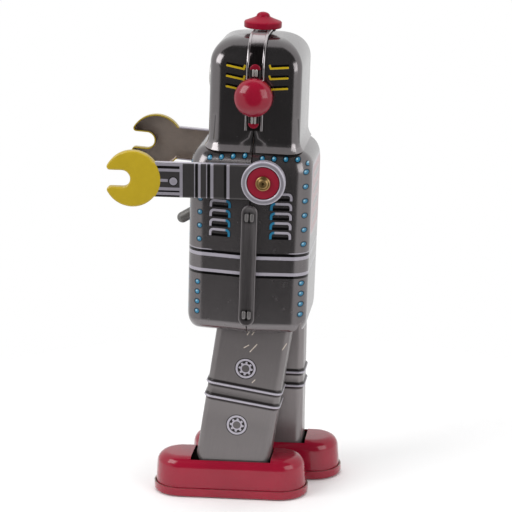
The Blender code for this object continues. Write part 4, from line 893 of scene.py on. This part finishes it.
class TINROBOT_OT_head(bpy.types.Operator):
    """Head shells, with raised rims round the eyes"""
    bl_idname = "tin_robot.head"
    bl_label = "Head"

    def execute(self, context):
        z = sizes(context)
        print_, bare = made("printed_head", head_print, context), metal(context, "bare_tinplate")
        for name, direction in (("front", -1), ("rear", 1)):
            mesh = mesh_of(f"head_{name}", [head_half(z, direction)], TRUNK)
            piece(f"head_{name}", mesh, "trunk", [print_, bare],
                  [f"head_{name}_shell"], z.tin, (), 50)
        rim = [(4.9 + 0.55 * math.cos(a), 0.7 * math.sin(a)) for a in np.linspace(0, math.pi, 9)]
        grid, *rest = turned(rim, axis="z")
        ring = np.stack([grid[..., 0], -grid[..., 2], grid[..., 1]], -1)
        rims = [(ring + (x, SEAM - z.head_front - 0.02, 81.0), *rest) for x in (8.2, -8.2)]
        piece("eye_rims", mesh_of("eye_rims", rims, TRUNK), "trunk", [metal(context, "bright_tin")])
        return {"FINISHED"}


class TINROBOT_OT_band(bpy.types.Operator):
    """Bright band over the head, the ear bars and domes on it, and the crown cap"""
    bl_idname = "tin_robot.band"
    bl_label = "Band, ears and cap"

    def execute(self, context):
        z = sizes(context)
        half = z.band / 2
        side, radius = z.head_half + z.gap, HEAD_FILLETS["side"] + z.gap
        top = HEAD_LOW + z.head_height + HEAD_CROWN + z.gap
        corner = arc((side - radius, top - radius), radius, 0, QUARTER, 28)
        down = np.stack([np.full(4, side), np.linspace(61.5, top - radius, 5)[:-1]], -1)
        path = np.concatenate([down, corner])
        normal = np.concatenate([np.tile([(1.0, 0.0)], (4, 1)), arc((0, 0), 1, 0, QUARTER, 28)])
        path, normal = (np.concatenate([way, way[::-1] * (-1, 1)]) for way in (path, normal))
        lip = [(half - 0.55 + 0.55 * math.cos(a), 0.45 + 0.45 * math.sin(a))
               for a in np.linspace(0, math.pi, 7)]
        section = np.array([(half, 0.0), *lip, (half - 1.25, 0.5), (0.0, 0.5), (1.25 - half, 0.5),
                            *((-a, b) for a, b in reversed(lip)), (-half, 0.0)])
        out = path[:, None] + normal[:, None] * section[None, :, 1:]
        grid = np.stack([out[..., 0], SEAM + np.broadcast_to(section[:, 0], out.shape[:2]), out[..., 1]], -1)
        piece("band", mesh_of("band", [(grid, True, True, True)], TRUNK), "trunk",
              [made("band_metal", band_metal, context)], ["head_band"])
        seat = side + 0.5 + z.gap
        bar = stacked(upright(12.7, 2.15), edge_rows(seat, seat + 0.8, 0.3), EAR)
        tabs = [stacked(upright(1.5, 0.45, 6), edge_rows(seat + 0.6, seat + 1.15, 0.2),
                        (SEAM + shift * 0.62, height))
                for height in (EAR[1] + 9.3, EAR[1] - 9.3) for shift in (-0.95, 0.95)]
        base = seat + 0.8 + z.gap
        t = quarter(20)
        crown = np.stack([z.ear * np.sin(t), base + 2.6 + 4.8 * np.cos(t)], -1)
        dome = turned([*crown, (z.ear, base + 0.25), (z.ear - 0.25, base), (0.0, base)], (0, *EAR))
        red = made("red_enamel", enamel, context, "red_enamel", "red")
        for name, sign in SIDES.items():
            piece(f"{name}_bar", mesh_of("bar", [bar], TRUNK, sign), "trunk",
                  [made("ear_bar", bar_finish, context)], [f"{name}_ear_bar"])
            piece(f"{name}_ear_tabs", mesh_of("tabs", tabs, TRUNK, sign), "trunk",
                  [metal(context, "bright_tin")])
            piece(f"{name}_ear", mesh_of("ear", [dome], TRUNK, sign), "trunk", [red],
                  [f"{name}_ear_dome"], sharp=50)
        base = top + 0.5 + z.gap
        t, r = quarter(8), z.cap
        knob = np.stack([2.7 * np.sin(t), 5.2 + 1.7 * np.cos(t)], -1)
        slope = [(3.3, 4.8), (4.6, 4.25), (r - 0.9, 3.5), (r - 0.3, 3.25), (r, 2.9), (r, 1.1),
                 (r - 0.15, 0.8), (r - 0.5, 0.65), (2.7, 0.62), (2.3, 0.5), (2.3, 0.0), (0.0, 0.0)]
        cap = turned([*knob, *slope], (0, SEAM, base), "z")
        satin = made("cap_enamel", enamel, context, "cap_enamel", "red", 0.3, 0.05, 0.12)
        piece("cap", mesh_of("cap", [cap], TRUNK), "trunk", [satin], ["crown_cap"], sharp=40)
        return {"FINISHED"}


def arm_outline(z, inset):
    """Round shoulder, straight bar and open round claw, drawn in by an inset."""
    bar, shoulder, claw = z.arm_width / 2 - inset, z.shoulder - inset, z.claw - inset
    jaw, tip = z.claw_gap / 2 + inset, 1.3 - inset
    lean, neck = math.asin(bar / shoulder), math.asin(bar / claw)
    tip_w = jaw + tip
    tip_u = -math.sqrt((claw - tip) ** 2 - tip_w ** 2)
    turn = math.atan2(tip_w, tip_u)
    upper = np.concatenate([arc((-z.arm_reach, 0), claw, neck, turn, 30),
                            arc((-z.arm_reach + tip_u, tip_w), tip, turn, 1.5 * math.pi, 8)[1:]])
    notch = arc((-z.arm_reach - 0.7 - z.claw_gap / 2, 0), jaw, QUARTER, -QUARTER, 20)
    disc = arc((0, 0), shoulder, lean - math.pi, math.pi - lean, 48)
    return np.concatenate([disc, upper, notch, upper[::-1] * (1, -1)])


class TINROBOT_OT_arms(bpy.types.Operator):
    """Pressed arms with open claws, shoulder rings and brass rivets"""
    bl_idname = "tin_robot.arms"
    bl_label = "Arms"

    def execute(self, context):
        z = sizes(context)
        face, back = z.arm_face, z.arm_face - z.arm_depth
        outline = lambda inset: arm_outline(z, inset)
        t = quarter(6)
        rows = [(z.tin, back), (0.0, back), *zip(0.8 * (1 - np.cos(t)), face - 0.8 + 0.8 * np.sin(t))]
        outer = stacked(outline, rows, first=False)
        inner = stacked(outline, [(z.tin, back), (z.tin, face - 0.8), (0.8, face - z.tin)], first=False)
        ring = turned([(6.55, face - 0.1), (6.62, face + 0.35), (6.95, face + 0.6), (7.5, face + 0.66),
                       (8.1, face + 0.6), (8.5, face + 0.32), (8.72, face - 0.25)])
        head = face + z.gap
        t = quarter(7)[::-1]
        dome = np.stack([2.95 - 0.55 * (1 - np.sin(t)), head + 0.45 + 0.65 * np.cos(t)], -1)
        rivet = turned([(0.0, head + 0.55), (0.55, head + 0.62), (0.8, head + 0.95), (1.5, head + 1.1), *dome,
                        (2.95, head), (1.5, head), (1.5, 23.5), (3.0, 23.5), (3.0, 23.0), (0.0, 23.0)],
                       (0, *SHOULDER))
        for name, sign in SIDES.items():
            print_ = made(f"printed_arm_{name}", arm_print, context, name)
            piece(f"{name}_arm_shell", mesh_of("arm", [outer, inner], ARMS[name], sign, inner=(1,)),
                  f"{name}_arm_group", [print_, metal(context, "bare_tinplate")], [f"{name}_arm"])
            piece(f"{name}_arm_ring", mesh_of("ring", [ring], ARMS[name], sign),
                  f"{name}_arm_group", [made(f"ring_{name}", ring_finish, context, name)])
            piece(f"{name}_rivet", mesh_of("rivet", [rivet], TRUNK, sign), "trunk",
                  [made("rivet_brass", rivet_finish, context)], [f"{name}_shoulder_rivet"])
        return {"FINISHED"}


def leg_half(z):
    """Outer half of a leg: C sections along it, swollen at the two beads, closing like a half disc."""
    half, out, r = z.leg_depth / 2, z.leg_width / 2, 3.0
    turns, start, close = np.linspace(0, math.radians(85), 14), -75.6, 6.6
    q = np.concatenate([np.linspace(-12, -43.7, 6), *[np.linspace(b + 1.3, b - 1.3, 13) for b in BEADS],
                        [-60.0, -68.0], start - close * np.sin(turns)])
    swell = sum(0.75 * np.cos(np.clip((q - b) / 1.3, -1, 1) * QUARTER) ** 2 for b in BEADS)
    below = np.clip(start - q, 0, None)
    deep = half - close + np.sqrt(close ** 2 - below ** 2) + swell
    wide = out + swell
    corner = arc((wide - r, deep - r), r + 0 * q, 0, QUARTER, 8)
    edge = np.stack([0 * q + 0.15, deep], -1)[:, None, :]
    rear = np.concatenate([corner, edge], 1)
    outline = np.concatenate([rear[:, ::-1] * (1, -1), rear], 1)
    grid = np.concatenate([outline, np.broadcast_to(q[:, None, None], outline.shape[:2] + (1,))], -1)
    return grid, False, False, False


class TINROBOT_OT_legs(bpy.types.Operator):
    """Legs of two drawn halves each"""
    bl_idname = "tin_robot.legs"
    bl_label = "Legs"

    def execute(self, context):
        z = sizes(context)
        for name, sign in SIDES.items():
            print_ = made(f"printed_leg_{name}", leg_print, context, name)
            for half, mirror in (("outer", 1), ("inner", -1)):
                grid, *rest = leg_half(z)
                mesh = mesh_of("leg", [(grid * (mirror, 1, 1) + (z.leg_x, 0, 0), *rest)], LEGS[name], sign)
                piece(f"{name}_{half}_shell", mesh, f"{name}_leg", [print_, metal(context, "bare_tinplate")],
                      [f"{name}_leg_{half}"], z.tin, (), 45)
        return {"FINISHED"}


def foot_rows(z, rows):
    """Outline of the foot, drawn in by each row's inset, at each row's height above the floor."""
    outline = upright(z.foot_length / 2, z.foot_width / 2, 28)
    rings = [outline(inset) + (z.leg_x, FOOT_SHIFT) for inset, height in rows]
    return np.stack([np.insert(ring, 2, height + SOLE, 1) for ring, (inset, height) in zip(rings, rows)])


class TINROBOT_OT_feet(bpy.types.Operator):
    """Drawn feet on their sole trays, with rollers underneath"""
    bl_idname = "tin_robot.feet"
    bl_label = "Feet"

    def execute(self, context):
        z = sizes(context)
        x, r, fillet = z.leg_x, z.roller, 4.3
        finishes = [made("red_enamel", enamel, context, "red_enamel", "red"), metal(context, "bare_tinplate")]
        heights = np.concatenate([[1.2, 4.0, 8.0], rounding(FOOT_TOP, fillet, 12)])
        draw = np.clip((heights - 4.0) * math.tan(math.radians(4)), 0, 0.601)
        rows = np.stack([0.8 + draw + drawn_in(heights, FOOT_TOP, fillet), heights], -1)
        shoe = (foot_rows(z, rows), True, False, True)
        slot = (x - z.leg_width / 2 - 1.0, -16.4, -2.0), (x + z.leg_width / 2 + 1.0, 16.4, 10.0)
        t = quarter(8)
        rows = [*zip(1.2 * (1 - np.sin(t)), 1.2 * (1 - np.cos(t))), (0.0, 3.75)]
        tray = (foot_rows(z, rows), True, True, False)
        ears = [box_grid((x + side, y - 2.2, -11.6), (x + side + 1.0, y + 2.2, -6.0))
                for y in ROLLERS.values() for side in (4.6, -5.6)]
        ears += [box_grid((x + side, -2.4, -11.6), (x + side + 0.8, 2.4, 2.2)) for side in (8.3, -9.1)]
        groove = [(0.0, 4.0), (r - 0.5, 4.0), (r - 0.15, 3.8), (r, 3.4), (r, 0.8), (r - 0.25, 0.6)]
        groove += [(a, -h) for a, h in reversed(groove)]
        axle = [(0.0, 5.9), (0.9, 5.9), (0.9, -5.9), (0.0, -5.9)]
        for name, sign in SIDES.items():
            at, body = FEET[name], f"{name}_foot"
            piece(f"{name}_foot_drawn", mesh_of("foot", [shoe], at, sign), body, finishes,
                  [f"{name}_foot_shell"], z.tin, [cutter(at, *slot, sign)])
            windows = [cutter(at, (x - 4.6, y - 3.0, -13.0), (x + 4.6, y + 3.0, -11.0), sign)
                       for y in ROLLERS.values()]
            piece(f"{name}_tray", mesh_of("tray", [tray], at, sign), body, finishes,
                  [f"{name}_sole_tray"], z.tin, windows)
            piece(f"{name}_tray_ears", mesh_of("ears", ears, at, sign), body, finishes[1:])
            for end, y in ROLLERS.items():
                parts = [turned(groove, (x, y, -7.8), steps=48), turned(axle, (x, y, -7.8), steps=24)]
                piece(f"{name}_{end}_wheel", mesh_of("roller", parts, at, sign), f"{name}_{end}_roller_group",
                      [metal(context, "steel")], [f"{name}_{end}_roller"])
        return {"FINISHED"}


class TINROBOT_OT_key(bpy.types.Operator):
    """Winding key with two flat wings"""
    bl_idname = "tin_robot.key"
    bl_label = "Winding key"

    def execute(self, context):
        middle, lobe, waist = -39.3, 7.2, math.radians(150)

        def wings(inset):
            """Two round lobes joined at a waist."""
            r = 6.3 - inset
            return np.concatenate([arc((lobe, 0), r, -waist, waist, 36),
                                   arc((-lobe, 0), r, math.pi - waist, math.pi + waist, 36)])

        t = quarter(5)
        upper = list(zip(0.4 * (1 - np.cos(t)), 0.1 + 0.4 * np.sin(t)))
        grid, *rest = stacked(wings, [(inset, -x) for inset, x in reversed(upper)] + upper)
        bow = np.stack([grid[..., 2] + middle, grid[..., 0] + WINDING[0], grid[..., 1] + WINDING[1]], -1)
        shank = turned([(0.0, -38.4), (2.2, -38.3), (2.9, -37.6), (3.2, -36.8), (3.2, -28.0), (2.9, -27.4),
                        (2.4, -27.3), (2.35, -31.0), (0.0, -31.0)], (0, *WINDING))
        piece("key", mesh_of("key", [(bow, *rest), shank], TRUNK), "winding", [metal(context, "nickel")],
              ["winding_key"])
        return {"FINISHED"}


class TINROBOT_OT_lever(bpy.types.Operator):
    """Start and stop lever: a round rod from a pivoting hub"""
    bl_idname = "tin_robot.lever"
    bl_label = "Start lever"

    def execute(self, context):
        slope, radius, reach = math.radians(32), 2.25, 18.1
        t = quarter(10)
        tip = np.stack([radius * np.sin(t), reach - radius * (1 - np.cos(t))], -1)
        grid, *rest = turned([*tip, (radius, 2.0), (1.5, 0.0), (0.0, 0.0)], steps=40)
        along, a, b = grid[..., 0], grid[..., 1], grid[..., 2]
        c, d = math.cos(slope), math.sin(slope)
        stick = np.stack([a, LEVER[0] - along * c + b * d, LEVER[1] - along * d - b * c], -1)
        hub = [(1.9, -2.55), (3.1, -2.55), (3.1, 7.0), (1.9, 7.0), (1.9, -2.55)]
        mesh = mesh_of("lever", [(stick, *rest), turned(hub, (0, *LEVER))], TRUNK)
        grey = made("grey_enamel", enamel, context, "grey_enamel", "leg_grey", 0.45, 0.1)
        piece("lever_rod", mesh, "lever", [grey], ["start_lever"])
        return {"FINISHED"}


class TINROBOT_OT_works(bpy.types.Operator):
    """Finishes of the clockwork and the small fittings that are shown as packed"""
    bl_idname = "tin_robot.works"
    bl_label = "Clockwork"

    def execute(self, context):
        pairs = ("motor_plate", "crank", "leg_lever", "ankle_pin", "shoulder_bush")
        dress = {
            "steel": ["spring_post", "lever_pillar", "lower_pillar", "upper_pillar", "hip_axle",
                      "winding_arbor", "crank_axle", "governor_pallet",
                      *(f"{side}_{part}" for side in SIDES for part in pairs)],
            "brass": ["great_wheel", "second_wheel", "governor_wheel"],
            "blued_steel": ["mainspring", "click"],
            "bare_tinplate": ["neck_cup"],
        }
        for finish, names in dress.items():
            for name in names:
                slots = NODES[name].data.materials
                slots.clear()
                slots.append(metal(context, finish))
        return {"FINISHED"}


# ------------------------------------------------------------------ stage

def studio_world(scene):
    """White to the camera; in reflections white all round, dim towards the camera and over it."""
    scene.world = bpy.data.worlds.new("studio")
    g = Graph(scene.world)
    x, _, z = g.outputs("ShaderNodeSeparateXYZ", g.node("ShaderNodeTexCoord"))
    camera, glossy, through = g.outputs("ShaderNodeLightPath", keys=(
        "Is Camera Ray", "Is Glossy Ray", "Is Transmission Ray"))
    dim = g.node("ShaderNodeMapRange", {"interpolation_type": "SMOOTHSTEP"}, {
        "Value": z.over(0.0).math("MULTIPLY_ADD", 0.9, x),
        "From Min": 0.74, "From Max": 0.88, "To Min": 0.80, "To Max": 0.07})
    level = g.node("ShaderNodeMix", inputs={"Factor": glossy, "A": 0.5, "B": dim})
    back = g.node("ShaderNodeBackground", inputs={
        "Color": (1, 1, 1, 1), "Strength": level.over(camera.over(through))})
    g.node("ShaderNodeOutputWorld", inputs={0: back})


class TINROBOT_OT_stage(bpy.types.Operator):
    """Pale floor, soft studio light and the camera"""
    bl_idname = "tin_robot.stage"
    bl_label = "Stage"

    def execute(self, context):
        scene = context.scene
        scene.view_settings.view_transform = "Standard"
        studio_world(scene)
        shift = Vector((JOINTS["left_hip"].x, JOINTS["left_hip"].y - 0.005, 0.0))
        disc, *rest = turned([(0.06, -0.2), (300.0, -0.2), (600.0, -0.2)], axis="z", steps=96)
        floor = bpy.data.objects.new("floor", mesh_of("floor", [(disc, *rest)], place(shift, 0.0)))
        scene.collection.objects.link(floor)
        s = Shader("pale_floor", place(shift, 0.0))
        tone = s.mix(s.noise(0.02, 2.0), (0.94, 0.94, 0.94), (0.97, 0.97, 0.97))
        diffuse = s.node("ShaderNodeBsdfDiffuse", inputs={"Color": tone})
        fade = s.reach(s.x, s.u).above(160.0, 110.0)
        surface = s.node("ShaderNodeMixShader", inputs={
            0: fade, 1: diffuse, 2: s.node("ShaderNodeBsdfTransparent")})
        s.node("ShaderNodeOutputMaterial", inputs={"Surface": surface})
        floor.data.materials.append(s.material)

        for name, at, power, size in (("key", (0.55, -0.75, 0.75), 6.5, 0.7),
                                      ("fill", (0.6, 0.8, 0.45), 3.5, 0.7),
                                      ("top", (-0.2, 0.0, 1.1), 6.0, 0.9)):
            lamp = bpy.data.lights.new(name, "AREA")
            lamp.energy, lamp.size = power, size
            light = bpy.data.objects.new(name, lamp)
            light.location = Vector(at) + shift
            light.visible_glossy = name != "top"
            aim = Vector((shift.x, shift.y, 0.1)) - light.location
            light.rotation_euler = aim.to_track_quat("-Z", "Y").to_euler()
            scene.collection.objects.link(light)

        lens = bpy.data.cameras.new("view")
        lens.sensor_width, lens.lens = 36.0, LENS
        lens.clip_start, lens.clip_end = 0.01, 20.0
        camera = bpy.data.objects.new("view", lens)
        right = Vector((-math.sin(AZIMUTH), math.cos(AZIMUTH), 0.0))
        back = Vector((math.cos(AZIMUTH) * math.cos(ELEVATION), math.sin(AZIMUTH) * math.cos(ELEVATION),
                       math.sin(ELEVATION)))
        turn = Matrix((right, back.cross(right), back)).transposed().to_4x4()
        swing = Matrix.Rotation(CAMERA_SWING, 3, "Z")
        stand = swing @ (CAMERA_PLACE - CAMERA_PIVOT) + CAMERA_PIVOT
        camera.matrix_world = Matrix.Translation(stand + shift) @ turn
        scene.collection.objects.link(camera)
        scene.camera = camera
        return {"FINISHED"}


class TINROBOT_PT_panel(bpy.types.Panel):
    """Sizes, colours and building steps of the tin robot"""
    bl_idname = "TINROBOT_PT_panel"
    bl_label = "Tin Robot"
    bl_space_type = "VIEW_3D"
    bl_region_type = "UI"
    bl_category = "Tin Robot"

    def draw(self, context):
        for operator in STEPS:
            self.layout.operator(operator.bl_idname)
        for group in (context.scene.tin_robot_sizes, context.scene.tin_robot_colours):
            column = self.layout.column()
            for key in group.bl_rna.properties.keys():
                if key not in ("rna_type", "name"):
                    column.prop(group, key)


STEPS = (TINROBOT_OT_body, TINROBOT_OT_head, TINROBOT_OT_band, TINROBOT_OT_arms, TINROBOT_OT_legs,
         TINROBOT_OT_feet, TINROBOT_OT_key, TINROBOT_OT_lever, TINROBOT_OT_works, TINROBOT_OT_stage)
CLASSES = (TinRobotSizes, TinRobotColours, *STEPS, TINROBOT_PT_panel)


def register():
    for item in CLASSES:
        bpy.utils.register_class(item)
    bpy.types.Scene.tin_robot_sizes = bpy.props.PointerProperty(type=TinRobotSizes)
    bpy.types.Scene.tin_robot_colours = bpy.props.PointerProperty(type=TinRobotColours)


def unregister():
    del bpy.types.Scene.tin_robot_colours
    del bpy.types.Scene.tin_robot_sizes
    for item in reversed(CLASSES):
        bpy.utils.unregister_class(item)


def main():
    register()
    for step in STEPS:
        getattr(bpy.ops.tin_robot, step.bl_idname.split(".")[1])()
    bpy.context.view_layer.update()


if __name__ == "__main__":
    main()
